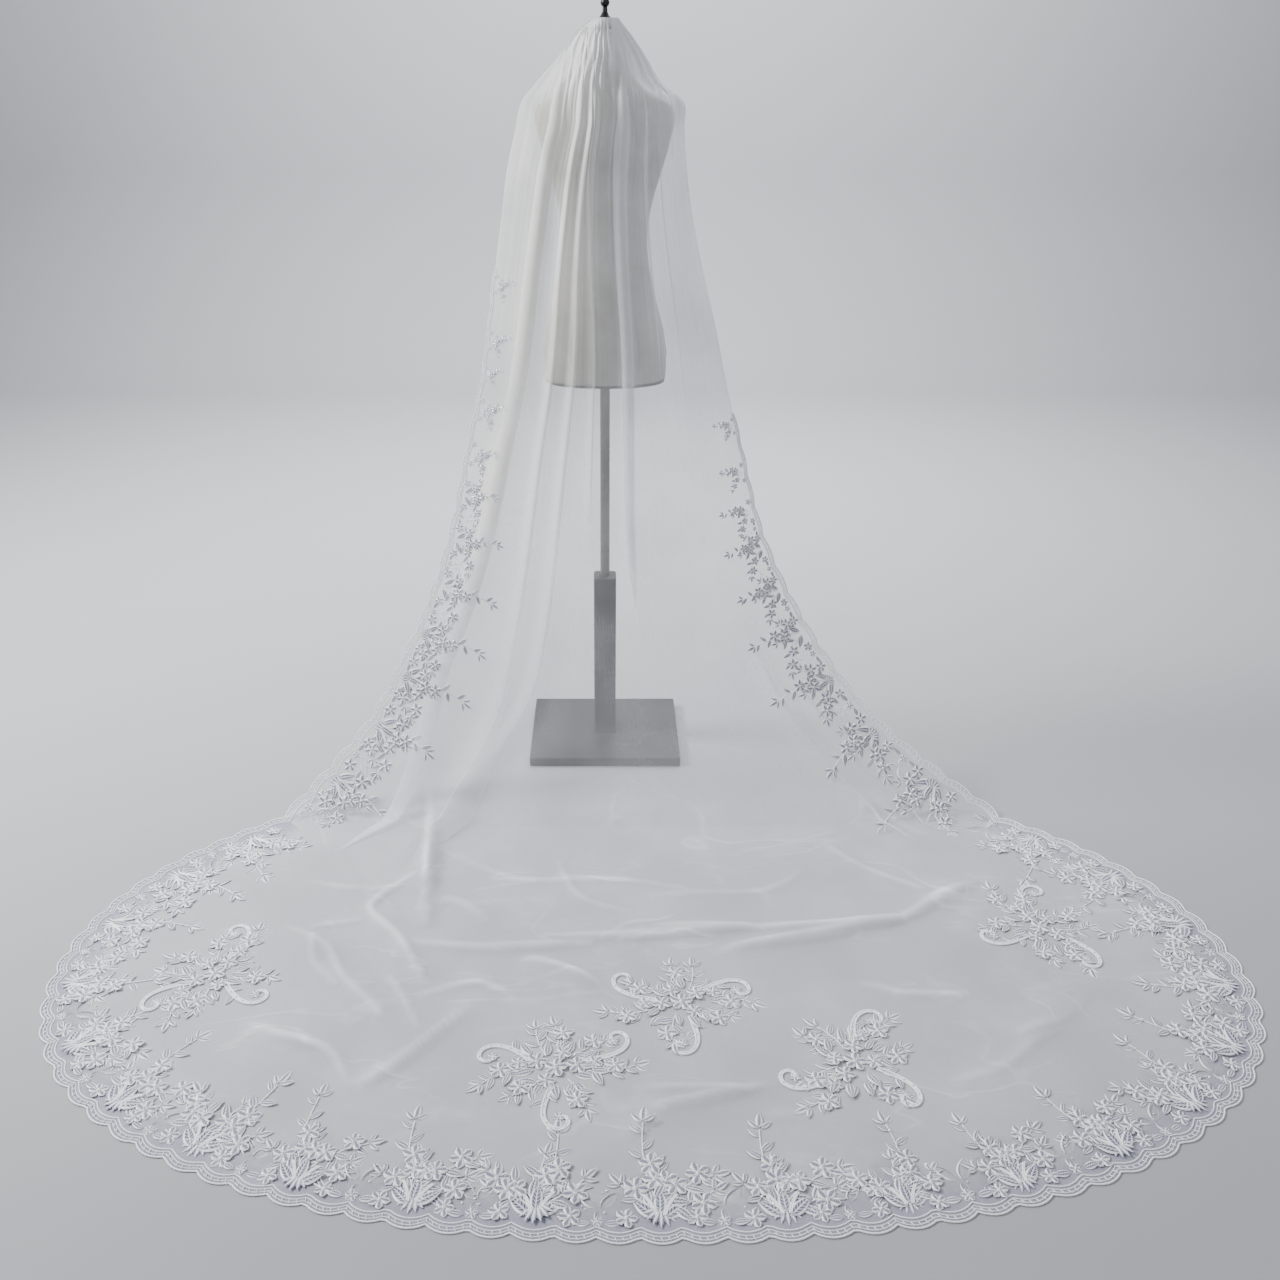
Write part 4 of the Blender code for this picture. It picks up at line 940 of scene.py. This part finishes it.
def sewPiece(name, layout, replaced, material=None):
    places, turns, kinds, sizes = ([shape[k] for shape in layout["shapes"]] for k in range(4))
    edges = []
    for route, size in layout["cords"]:
        start = len(places)
        places += route
        kinds += [-1] * len(route)
        turns += [(0.0, 0.0, 0.0)] * len(route)
        sizes += [size] * len(route)
        edges += [(start + k, start + k + 1) for k in range(len(route) - 1)]
    mesh = bpy.data.meshes.new(name)
    mesh.from_pydata([tuple(p) for p in places], edges, [])
    mesh.attributes.new("kind", "INT", "POINT").data.foreach_set("value", kinds)
    mesh.attributes.new("size", "FLOAT", "POINT").data.foreach_set("value", sizes)
    turned = mesh.attributes.new("turn", "FLOAT_VECTOR", "POINT")
    turned.data.foreach_set("vector", [value for turn in turns for value in turn])
    piece = newObject(name, mesh)
    modifier = piece.modifiers.new("sew lace", "NODES")
    modifier.node_group = sewing["tree"]
    values = {"Shapes": sewing["shapes"], "Cord Radius": lace["cordRadius"],
              "Lace": material or sewing["lace"], "Beads": sewing["beads"]}
    for item in sewing["tree"].interface.items_tree:
        if item.in_out == "INPUT" and item.name in values:
            modifier[item.identifier] = values[item.name]
    bpy.context.view_layer.update()
    depsgraph = bpy.context.evaluated_depsgraph_get()
    baked = bpy.data.meshes.new_from_object(piece.evaluated_get(depsgraph), depsgraph=depsgraph)
    piece.modifiers.clear()
    piece.data = baked
    for vertex in baked.vertices:  # what would reach through the floor lies on it
        vertex.co.z = max(vertex.co.z, veil["lift"])
    bpy.data.meshes.remove(mesh)
    baked.name = name
    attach(piece, "root")
    if replaced:
        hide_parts(*replaced)
    print(name, "sewn,", sum(len(face.vertices) - 2 for face in baked.polygons), "triangles")
    return piece


# Places on the cloth for the lace

clothTree = BVHTree.FromPolygons(
    [vertex.co.copy() for vertex in sheet.data.vertices],
    [tuple(face.vertices) for face in sheet.data.polygons],
)


def dropOnCloth(spot, normal):
    # the outer face of the cloth under a spot
    hit, _, _, _ = clothTree.ray_cast(spot + normal * 0.10, -normal, 0.25)
    if hit is None:
        hit, _, _, _ = clothTree.find_nearest(spot)
    return hit


def borderFrames(step=0.006, window=9):
    # the cloth's edge from the top left, round the train, to the top right: place, along, outward normal
    cols = veil["columns"] + 1
    grid = np.array([vertex.co[:] for vertex in sheet.data.vertices]).reshape(rowCount, cols, 3)
    soft = smoothVeil(np.tile(np.linspace(-1, 1, cols), (rowCount, 1)))
    normal = gridNormals(soft)
    normal[dropRows + 8 :] = (0.0, 0.0, 1.0)
    edge = np.concatenate([grid[:, 0], grid[-1, 1:], grid[-2::-1, -1]])
    facing = np.concatenate([normal[:, 3], normal[-1, 1:], normal[-2::-1, -4]])
    length = np.concatenate([[0], np.cumsum(np.linalg.norm(np.diff(edge, axis=0), axis=1))])
    keep = np.concatenate([[True], np.diff(length) > 1e-6])
    places = np.arange(0, length[-1], step)
    spot = np.stack([np.interp(places, length[keep], edge[keep, k]) for k in range(3)], axis=-1)
    up = np.stack([np.interp(places, length[keep], facing[keep, k]) for k in range(3)], axis=-1)
    kernel = np.ones(window) / window

    def evened(values):
        padded = np.pad(values, ((window // 2, window // 2), (0, 0)), mode="edge")
        return np.stack([np.convolve(padded[:, k], kernel, "valid") for k in range(3)], axis=-1)

    up = evened(up)
    along = evened(np.gradient(spot, axis=0))
    along /= np.linalg.norm(along, axis=1, keepdims=True)
    up -= along * (up * along).sum(axis=1, keepdims=True)
    up /= np.linalg.norm(up, axis=1, keepdims=True)
    return places, spot, along, up


borderPlaces, borderSpots, borderAlong, borderUp = borderFrames()
borderLength = float(borderPlaces[-1])
footNumbers = np.flatnonzero(borderSpots[:, 2] < 0.004)
hemStart, hemEnd = float(borderPlaces[footNumbers[0]]), float(borderPlaces[footNumbers[-1]])


def placeOnBorder(along, inward):
    # a place on the cloth by its distance along the edge and in from it, with the cloth's own axes there
    at = min(max(along, 0.0), borderLength)
    read = [Vector([float(np.interp(at, borderPlaces, values[:, k])) for k in range(3)])
            for values in (borderSpots, borderAlong, borderUp)]
    spot, tangent, normal = read[0], read[1].normalized(), read[2].normalized()
    side = normal.cross(tangent)
    on = dropOnCloth(spot + side * max(inward, 0.003), normal)
    return on + side * min(inward - 0.003, 0.0), tangent, side, normal


def motifPlacer(middleX, middleY, turn):
    along = Vector((math.cos(turn), math.sin(turn), 0.0))
    side = Vector((-math.sin(turn), math.cos(turn), 0.0))
    normal = Vector((0.0, 0.0, 1.0))

    def place(u, v):
        spot = Vector((middleX, middleY, 0.0)) + along * u + side * v
        return dropOnCloth(spot, normal), along, side, normal

    return place


def addShape(layout, place, u, v, heading, name, size, lift=0.0, tilt=0.10):
    spot, along, side, normal = place(u, v)
    spot.z = max(spot.z, veil["lift"])
    normal = (normal + along * random.uniform(-tilt, tilt) + side * random.uniform(-tilt, tilt)).normalized()
    forward = along * math.cos(heading) + side * math.sin(heading)
    forward = (forward - normal * forward.dot(normal)).normalized()
    basis = Matrix((forward, normal.cross(forward), normal)).transposed()
    spot = spot + normal * (lace["lift"] + lift)
    layout["shapes"].append((spot, tuple(basis.to_euler()), shapeNumber[name], size))


def addCord(layout, place, route, size, lift=0.0):
    points = []
    for u, v in route:
        spot, _, _, normal = place(u, v)
        spot.z = max(spot.z, veil["lift"])
        points.append(spot + normal * (lace["cordRadius"] * size * 0.6 + lift))
    layout["cords"].append((points, size))


def stemRoute(u, v, heading, length, bend, steps=10, power=1.0):
    route, headings = [(u, v)], [heading]
    for step in range(steps):
        t = (step + 0.5) / steps
        turned = heading + bend * t**power
        u += length / steps * math.cos(turned)
        v += length / steps * math.sin(turned)
        route.append((u, v))
        headings.append(turned)
    return route, headings


def addStem(layout, place, u, v, heading, length, bend, leaves, flowers, tip, size):
    # a stem with leaves on alternate sides, flowers at shares of its length and a three-leaved tip
    route, headings = stemRoute(u, v, heading, length * size, bend)
    addCord(layout, place, route, 1.15 * size)
    last = len(route) - 1
    for number in range(leaves):
        t = (number + 0.9) / (leaves + 0.5)
        at = min(int(t * last), last)
        way = 1 if number % 2 else -1
        leafTurn = headings[at] + way * random.uniform(0.75, 1.05)
        leafSize = size * (0.92 - 0.30 * t) * random.uniform(0.9, 1.1)
        addShape(layout, place, *route[at], leafTurn, "leaf", leafSize)
        if random.random() < 0.5:
            addShape(layout, place, *route[at], 0.0, "sequin", 1.0, 2.4 * mm, 0.5)
    for share in flowers:
        at = int(share * last)
        way = 1 if share * 10 % 2 < 1 else -1
        fu = route[at][0] - way * 0.010 * size * math.sin(headings[at])
        fv = route[at][1] + way * 0.010 * size * math.cos(headings[at])
        addShape(layout, place, fu, fv, random.uniform(0, math.tau), "flower", size * 1.05, 1.4 * mm)
        addShape(layout, place, fu, fv, 0.0, "bead", 1.0, 5.2 * mm)
    addShape(layout, place, *route[-1], headings[-1], "tip", tip * size)


# Lace border: the layout of its sprays

border = {
    "repeats": 21,
    "scallops": 3,
    "scallopRise": 12 * mm,
    "sidePitch": 0.080,
    # distance in from the scalloped edge, thickness of each stitched cord
    "cords": ((0.0, 1.5), (0.0065, 0.7), (0.0125, 0.7), (0.0185, 1.1)),
    "cordStep": 0.009,
    "stitchGap": 0.012,
    # place along, place in, heading in degrees, length, bend, leaves, flowers at, size of the tip
    "sprayStems": (
        (-0.002, 0.052, 118, 0.150, -0.5, 6, (0.30, 0.58), 1.2),
        (0.002, 0.052, 58, 0.112, -0.7, 5, (0.42, 0.86), 1.1),
        (0.000, 0.060, 90, 0.070, 0.3, 3, (0.55,), 1.0),
        (-0.006, 0.046, 156, 0.074, -0.3, 3, (0.70,), 1.0),
        (0.006, 0.046, 16, 0.080, 0.4, 3, (0.70,), 1.0),
    ),
    "trunks": ((-0.006, 104, 0.042, 0.5), (0.006, 76, 0.042, -0.5)),
    # place along, place in, heading, kind, size
    "sprayBase": (
        (0.000, 0.050, -90, "fan", 0.80),
        (0.000, 0.036, 90, "leaf", 1.10),
        (-0.006, 0.030, 140, "leaf", 1.15),
        (0.006, 0.030, 40, "leaf", 1.15),
        (-0.052, 0.030, 0, "flower", 0.90),
        (0.054, 0.032, 0, "flower", 0.85),
    ),
    "gapBase": (
        (0.004, 0.058, 52, "openLeaf", 1.20),
        (-0.004, 0.058, 134, "openLeaf", 1.10),
        (0.000, 0.054, 272, "openLeaf", 0.70),
        (-0.014, 0.026, 176, "leaf", 0.75),
        (0.014, 0.026, 4, "leaf", 0.75),
        (0.000, 0.030, 90, "flower", 0.60),
    ),
    # height of each sprig of the left edge, and of the right edge, with its size
    "leftSprigs": ((1.220, 0.34), (1.100, 0.33), (1.020, 0.28), (0.940, 0.40), (0.840, 0.44), (0.740, 0.54),
                   (0.630, 0.60), (0.520, 0.68), (0.410, 0.76), (0.305, 0.84), (0.195, 0.90), (0.085, 0.95)),
    "rightSprigs": ((0.900, 0.30), (0.790, 0.36), (0.700, 0.44), (0.610, 0.52), (0.510, 0.60), (0.410, 0.70),
                    (0.300, 0.78), (0.185, 0.88), (0.080, 0.95)),
    "netCover": 0.42,
    "netFade": 2.5,
    "netStep": 0.012,
    "netDepth": 0.105,
    "netRise": 0.035,
}


def scallop(along, pitch):
    share = (along / pitch) % 1.0
    return border["scallopRise"] * (math.sin(math.pi * share) ** 0.8 * 2 - 1) * 0.5


def addEdging(layout, start, end, pitch, grow):
    # stitched cords that follow the scallops, grow gives their size along the way
    count = int((end - start) / border["cordStep"]) + 1
    for inset, thick in border["cords"]:
        route, size = [], 0.0
        for k in range(count + 1):
            along = start + (end - start) * k / count
            rise = scallop(along - start, pitch) * grow(along)
            route.append((along, inset * grow(along) - rise - 0.5 * border["scallopRise"] * grow(along)))
            size = max(size, thick * (0.6 + 0.4 * grow(along)))
        addCord(layout, placeOnBorder, route, size)
    stitches = int((end - start) / border["stitchGap"])
    for k in range(stitches):
        along = start + (end - start) * (k + 0.5) / stitches
        inset = 0.0075 * grow(along) - scallop(along - start, pitch) * grow(along)
        inset -= 0.5 * border["scallopRise"] * grow(along)
        addShape(layout, placeOnBorder, along, inset, math.pi / 2 + 0.5, "stitch", 1.3, 0.4 * mm)


def addSpray(layout, place, u, size, flip, lean):
    # the small sprigs up the sides have fewer stems and less at their root
    stems = 5 if size > 0.70 else 4 if size > 0.50 else 3
    base = len(border["sprayBase"]) if size > 0.70 else 4 if size > 0.50 else 2
    for du, v, heading, length, bend, leaves, flowers, tip in border["sprayStems"][:stems]:
        turned = math.radians(heading if flip > 0 else 180 - heading) + lean * flip
        length *= random.uniform(0.86, 1.12)
        addStem(layout, place, u + du * flip * size, v * size, turned, length, bend * flip,
                leaves, flowers, tip, size)
    for du, heading, length, bend in border["trunks"]:
        for side in (-0.0016, 0.0016):
            root = u + du * size + side
            route, _ = stemRoute(root, 0.034 * size, math.radians(heading), length * size, bend, 5)
            addCord(layout, place, route, 1.5 * size, 1.6 * mm)
    for du, v, heading, name, shapeSize in border["sprayBase"][-base:]:
        turned = math.radians(heading if flip > 0 else 180 - heading)
        addShape(layout, place, u + du * flip * size, v * size, turned, name, shapeSize * size, 1.0 * mm)


def addGapSprig(layout, place, u, size):
    for du, v, heading, name, shapeSize in border["gapBase"]:
        turned = math.radians(heading) + random.uniform(-0.12, 0.12)
        addShape(layout, place, u + du * size, v * size, turned, name, shapeSize * size)
    for _ in range(6):
        addShape(layout, place, u + random.uniform(-0.05, 0.05) * size, random.uniform(0.03, 0.10) * size,
                 0.0, "sequin", 0.9, 0.4 * mm, 0.4)


def makeHemLace():
    random.seed(11)
    layout = newLayout()
    pitch = (hemEnd - hemStart) / border["repeats"]
    addEdging(layout, hemStart, hemEnd, pitch / border["scallops"], lambda along: 1.0)
    for number in range(border["repeats"]):
        middle = hemStart + (number + 0.5) * pitch
        size = random.uniform(0.92, 1.10)
        addSpray(layout, placeOnBorder, middle, size, 1 if number % 3 else -1, random.uniform(-0.16, 0.16))
        addGapSprig(layout, placeOnBorder, middle + 0.5 * pitch, random.uniform(0.85, 1.1))
    return sewPiece("laceHem", layout, ["lace_hem"])


def alongAtHeight(height, right):
    numbers = np.flatnonzero(borderPlaces > hemEnd) if right else np.flatnonzero(borderPlaces < hemStart)
    return float(borderPlaces[numbers[np.argmin(np.abs(borderSpots[numbers, 2] - height))]])


def makeSideLace(name, sprigs, right, seed):
    random.seed(seed)
    layout = newLayout()
    top = alongAtHeight(sprigs[0][0] + 0.03, right)
    start, end = (hemEnd, top) if right else (top, hemStart)

    def grow(along):
        share = abs(along - top) / (end - start)
        return 0.35 + 0.65 * share

    pitch = (end - start) / round((end - start) / border["sidePitch"])
    addEdging(layout, start, end, pitch, grow)
    for height, size in sprigs:
        middle = alongAtHeight(height, right)
        flip = -1 if right else 1
        addSpray(layout, placeOnBorder, middle, size, flip, random.uniform(-0.2, 0.1))
        if size > 0.50:
            addGapSprig(layout, placeOnBorder, middle + 0.10 * size, size * 0.9)
    return sewPiece(name, layout, ["lace_side_right" if right else "lace_side_left"])


def netMaterial():
    # The lace's own net ground, finer and a little thicker than the tulle under it
    material, tree, shader = newMaterial("fine lace net", "#a6a6bd", 0.7)
    place = addNode(tree, "ShaderNodeTexCoord").outputs["Object"]
    level = rangeNode(tree, noiseNode(tree, place, 60.0, 3.0), 0.35, 0.65, 0.7, 1.3)
    cover = addNode(tree, "ShaderNodeAttribute", {"attribute_name": "netCover"}).outputs["Fac"]
    setInputs(tree, shader, {"Alpha": mathNode(tree, "MULTIPLY", cover, level, clamp=True)})
    return material


def makeLaceNet():
    pitch = (hemEnd - hemStart) / border["repeats"]
    steps = int((hemEnd - hemStart) / border["netStep"])
    shares = np.linspace(0, 1, 8)
    points, covers = [], []
    for step in range(steps + 1):
        along = hemStart + (hemEnd - hemStart) * step / steps
        outer = -scallop(along - hemStart, pitch / border["scallops"]) - 0.5 * border["scallopRise"]
        share = ((along - hemStart) / pitch) % 1.0
        inner = border["netDepth"] + border["netRise"] * math.cos(math.tau * (share - 0.5))
        for t in shares:
            spot, _, _, normal = placeOnBorder(along, outer + (inner - outer) * float(t))
            points.append(spot + normal * 0.4 * mm)
            covers.append(border["netCover"] * (1 - float(t) ** border["netFade"]))
    net = newPiece("laceNet", points, gridFaces(steps + 1, len(shares)), netMaterial())
    net.data.attributes.new("netCover", "FLOAT", "POINT").data.foreach_set("value", covers)
    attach(net, "root")
    return net


# Large motifs: the layout of one

motif = {
    # place along, place in, size of each flower of the middle
    "flowers": ((0.000, 0.000, 1.15), (0.038, 0.010, 1.0), (-0.036, 0.012, 1.0), (0.008, 0.036, 0.9),
                (-0.014, -0.032, 0.9), (0.070, 0.020, 0.8), (-0.070, 0.004, 0.8)),
    # heading in degrees, distance of the root, length, bend, leaves, flowers at, size of the tip
    "stems": (
        (6, 0.060, 0.086, 0.5, 5, (0.60,), 1.2),
        (50, 0.034, 0.074, -0.4, 4, (0.80,), 1.1),
        (92, 0.034, 0.072, 0.4, 4, (0.72,), 1.1),
        (132, 0.036, 0.070, -0.5, 4, (), 1.1),
        (186, 0.060, 0.080, 0.6, 5, (0.55,), 1.2),
        (228, 0.034, 0.066, -0.4, 4, (0.78,), 1.0),
        (312, 0.034, 0.076, -0.5, 4, (0.75,), 1.1),
    ),
    # heading in degrees, distance of the root, length, curl
    "scrolls": ((26, 0.050, 0.172, 5.6), (160, 0.050, 0.162, 5.4), (268, 0.040, 0.165, 5.6)),
    "scrollWidth": 0.0075,
    "fillLeaves": 16,
}


def addScroll(layout, place, heading, root, length, curl):
    turned = math.radians(heading)
    u, v = root * math.cos(turned), root * math.sin(turned)
    route, headings = stemRoute(u, v, turned - 0.15, length, curl, 26, 3.0)
    for side, thick in ((1, 1.8), (-1, 1.8), (0, 1.2)):
        line = []
        for k, ((x, y), way) in enumerate(zip(route, headings)):
            half = side * motif["scrollWidth"] / 2 * (1 - 0.55 * k / len(route))
            line.append((x - half * math.sin(way), y + half * math.cos(way)))
        addCord(layout, place, line, thick)
    for k in range(2, len(route) - 1, 3):
        addShape(layout, place, *route[k], 0.0, "bead", 0.9, 1.2 * mm)
    addShape(layout, place, *route[-1], headings[-1], "flower", 0.55, 1.0 * mm)
    addShape(layout, place, *route[6], headings[6] - 0.9, "leaf", 0.75)
    addShape(layout, place, *route[3], headings[3] + 0.9, "leaf", 0.65)


def makeMotif(number, middleX, middleY, turn, size):
    random.seed(40 + number)
    layout = newLayout()
    place = motifPlacer(middleX, middleY, turn)
    flip = -1 if number % 2 else 1
    for u, v, flowerSize in motif["flowers"]:
        turned = random.uniform(0, math.tau)
        addShape(layout, place, u * flip, v, turned, "flower", flowerSize * size, 2.2 * mm)
        addShape(layout, place, u * flip, v, 0.0, "bead", 1.1, 6.2 * mm)
    for k in range(motif["fillLeaves"]):
        angle = math.tau * (k + random.uniform(-0.25, 0.25)) / motif["fillLeaves"]
        reach = random.uniform(0.026, 0.046) * size
        addShape(layout, place, 1.5 * reach * math.cos(angle), reach * math.sin(angle),
                 angle + random.uniform(-0.4, 0.4), "leaf", random.uniform(0.75, 1.0) * size, 0.6 * mm)
    for heading, root, length, bend, leaves, flowers, tip in motif["stems"]:
        turned = math.radians(heading if flip > 0 else 180 - heading) + random.uniform(-0.12, 0.12)
        u, v = root * math.cos(turned), root * math.sin(turned)
        addStem(layout, place, u, v, turned, length, bend * flip, leaves, flowers, tip, size)
    for heading, root, length, curl in motif["scrolls"]:
        addScroll(layout, place, heading if flip > 0 else 180 - heading, root, length, curl * flip)
    return sewPiece(f"laceMotif{number}", layout, [f"motif_{number}"])


lacePieces = [makeHemLace(), makeLaceNet()]
lacePieces.append(makeSideLace("laceSideLeft", border["leftSprigs"], False, 21))
lacePieces.append(makeSideLace("laceSideRight", border["rightSprigs"], True, 22))
for number, place in enumerate(motifs["places"], start=1):
    lacePieces.append(makeMotif(number, *place))


# Dress form and stand

stand = {
    # the jersey's colour is darker than the cover's own cream: painted shade of the form lit from behind
    "jersey": "#aaa89f",
    "seamThread": "#8f8d85",
    "weave": 1.6,  # mm between the rows of the knit
    "seamAngles": (0, 52, 128, 180, 232, 308),
    "seamHeights": (1.052, 1.60),
    "sharpAngle": 0.85,  # edges of the form that turn more than this, in radians, stay sharp
    # finish, colour, roughness, metallic, grain, unevenness of the tone, solids
    "hardFinishes": (
        ("brushed steel tube", "#686661", 0.38, 0.8, 900.0, 0.12, ("pole",)),
        ("powder coated steel", "#232220", 0.75, 0.0, 1400.0, 0.12,
         ("post_sleeve", "sleeve_collar", "base_plate")),
        ("stained plywood board", "#2b2825", 0.6, 0.0, 60.0, 0.4, ("bottom_board",)),
        ("black lacquered wood", "#121212", 0.28, 0.0, 40.0, 0.12, ("neck_cap", "finial")),
        ("clear moulded comb", "#d9d9dc", 0.22, 0.0, 200.0, 0.05, ("comb",)),
    ),
}


def formMaterial():
    # Cotton jersey stretched over the form, coloured darker than its cream for painted shade: fine ribs of
    # the knit over slightly uneven padding
    material, tree, shader = newMaterial("cotton jersey of the form", stand["jersey"], 0.9)
    place = addNode(tree, "ShaderNodeTexCoord").outputs["Object"]
    knit = addNode(tree, "ShaderNodeTexWave", {"bands_direction": "Z"},
                   {"Vector": place, "Scale": 1000 / stand["weave"] / 6.3, "Distortion": 1.5})
    pad = noiseNode(tree, place, 9.0, 3.0)
    height = mathNode(tree, "MULTIPLY_ADD", pad, 3.0, knit.outputs["Fac"])
    setInputs(tree, shader, {"Base Color": mottled(tree, pad, stand["jersey"], 0.86),
                             "Normal": bumpNode(tree, height, 0.35, 0.6 * mm), "Sheen Weight": 0.15})
    return material


def hardMaterial(name, colour, roughness, metallic, grain, uneven):
    # a hard finish with a fine grain in its sheen and a slight change of tone
    material, tree, shader = newMaterial(name, colour, roughness)
    fine = noiseNode(tree, addNode(tree, "ShaderNodeTexCoord").outputs["Object"], grain, 4.0)
    rough = rangeNode(tree, fine, 0.3, 0.7, roughness * 0.85, min(roughness * 1.2, 1.0))
    setInputs(tree, shader, {"Base Color": mottled(tree, fine, colour, 1 - uneven),
                             "Roughness": rough, "Metallic": metallic})
    return material


def finishStand():
    for *finish, names in stand["hardFinishes"]:
        material = hardMaterial(*finish)
        for name in names:
            nodes[name].material_slots[0].material = material


def makeFormBody(material):
    # the form's own solid, its facets joined to four-sided faces and rounded
    shell = bmesh.new()
    shell.from_mesh(nodes["torso"].data)
    bmesh.ops.remove_doubles(shell, verts=shell.verts, dist=0.02 * mm)
    bmesh.ops.join_triangles(shell, faces=shell.faces, angle_face_threshold=0.7, angle_shape_threshold=1.2)
    crease = shell.edges.layers.float.new("crease_edge")
    for edge in shell.edges:
        if edge.is_manifold and edge.calc_face_angle() > stand["sharpAngle"]:
            edge[crease] = 0.8
    mesh = bpy.data.meshes.new("formBody")
    shell.to_mesh(mesh)
    shell.free()
    mesh.materials.clear()
    mesh.materials.append(material)
    mesh.shade_smooth()
    body = newObject("formBody", mesh)
    rounded = body.modifiers.new("rounded", "SUBSURF")
    rounded.levels = rounded.render_levels = 2
    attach(body, "root")
    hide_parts("torso")
    return body


def makeFormSeams():
    # stitched seams down the panels of the cover
    low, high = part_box("torso")
    middleX, middleY = (low[0] + high[0]) / 2, (low[1] + high[1]) / 2
    tree = BVHTree.FromPolygons([v.co.copy() for v in nodes["torso"].data.vertices],
                                [tuple(f.vertices) for f in nodes["torso"].data.polygons])
    layout = newLayout()
    for angle in stand["seamAngles"]:
        way = Vector((math.cos(math.radians(angle)), math.sin(math.radians(angle)), 0.0))
        route = []
        for height in np.linspace(*stand["seamHeights"], 40):
            hit, _, _, _ = tree.ray_cast(Vector((middleX, middleY, height)) + way * 0.6, -way, 0.8)
            if hit is not None:
                route.append(hit - way * 0.5 * mm)
        layout["cords"].append((route, 0.8))
    material, _, _ = newMaterial("cotton thread of the seams", stand["seamThread"], 0.8)
    return sewPiece("formSeams", layout, [], material)


makeFormBody(formMaterial())
makeFormSeams()
finishStand()
print("stand made")


# The shapes that the lace was sewn from go

for shape in list(sewing["shapes"].objects):
    bpy.data.meshes.remove(shape.data)
bpy.data.collections.remove(sewing["shapes"])
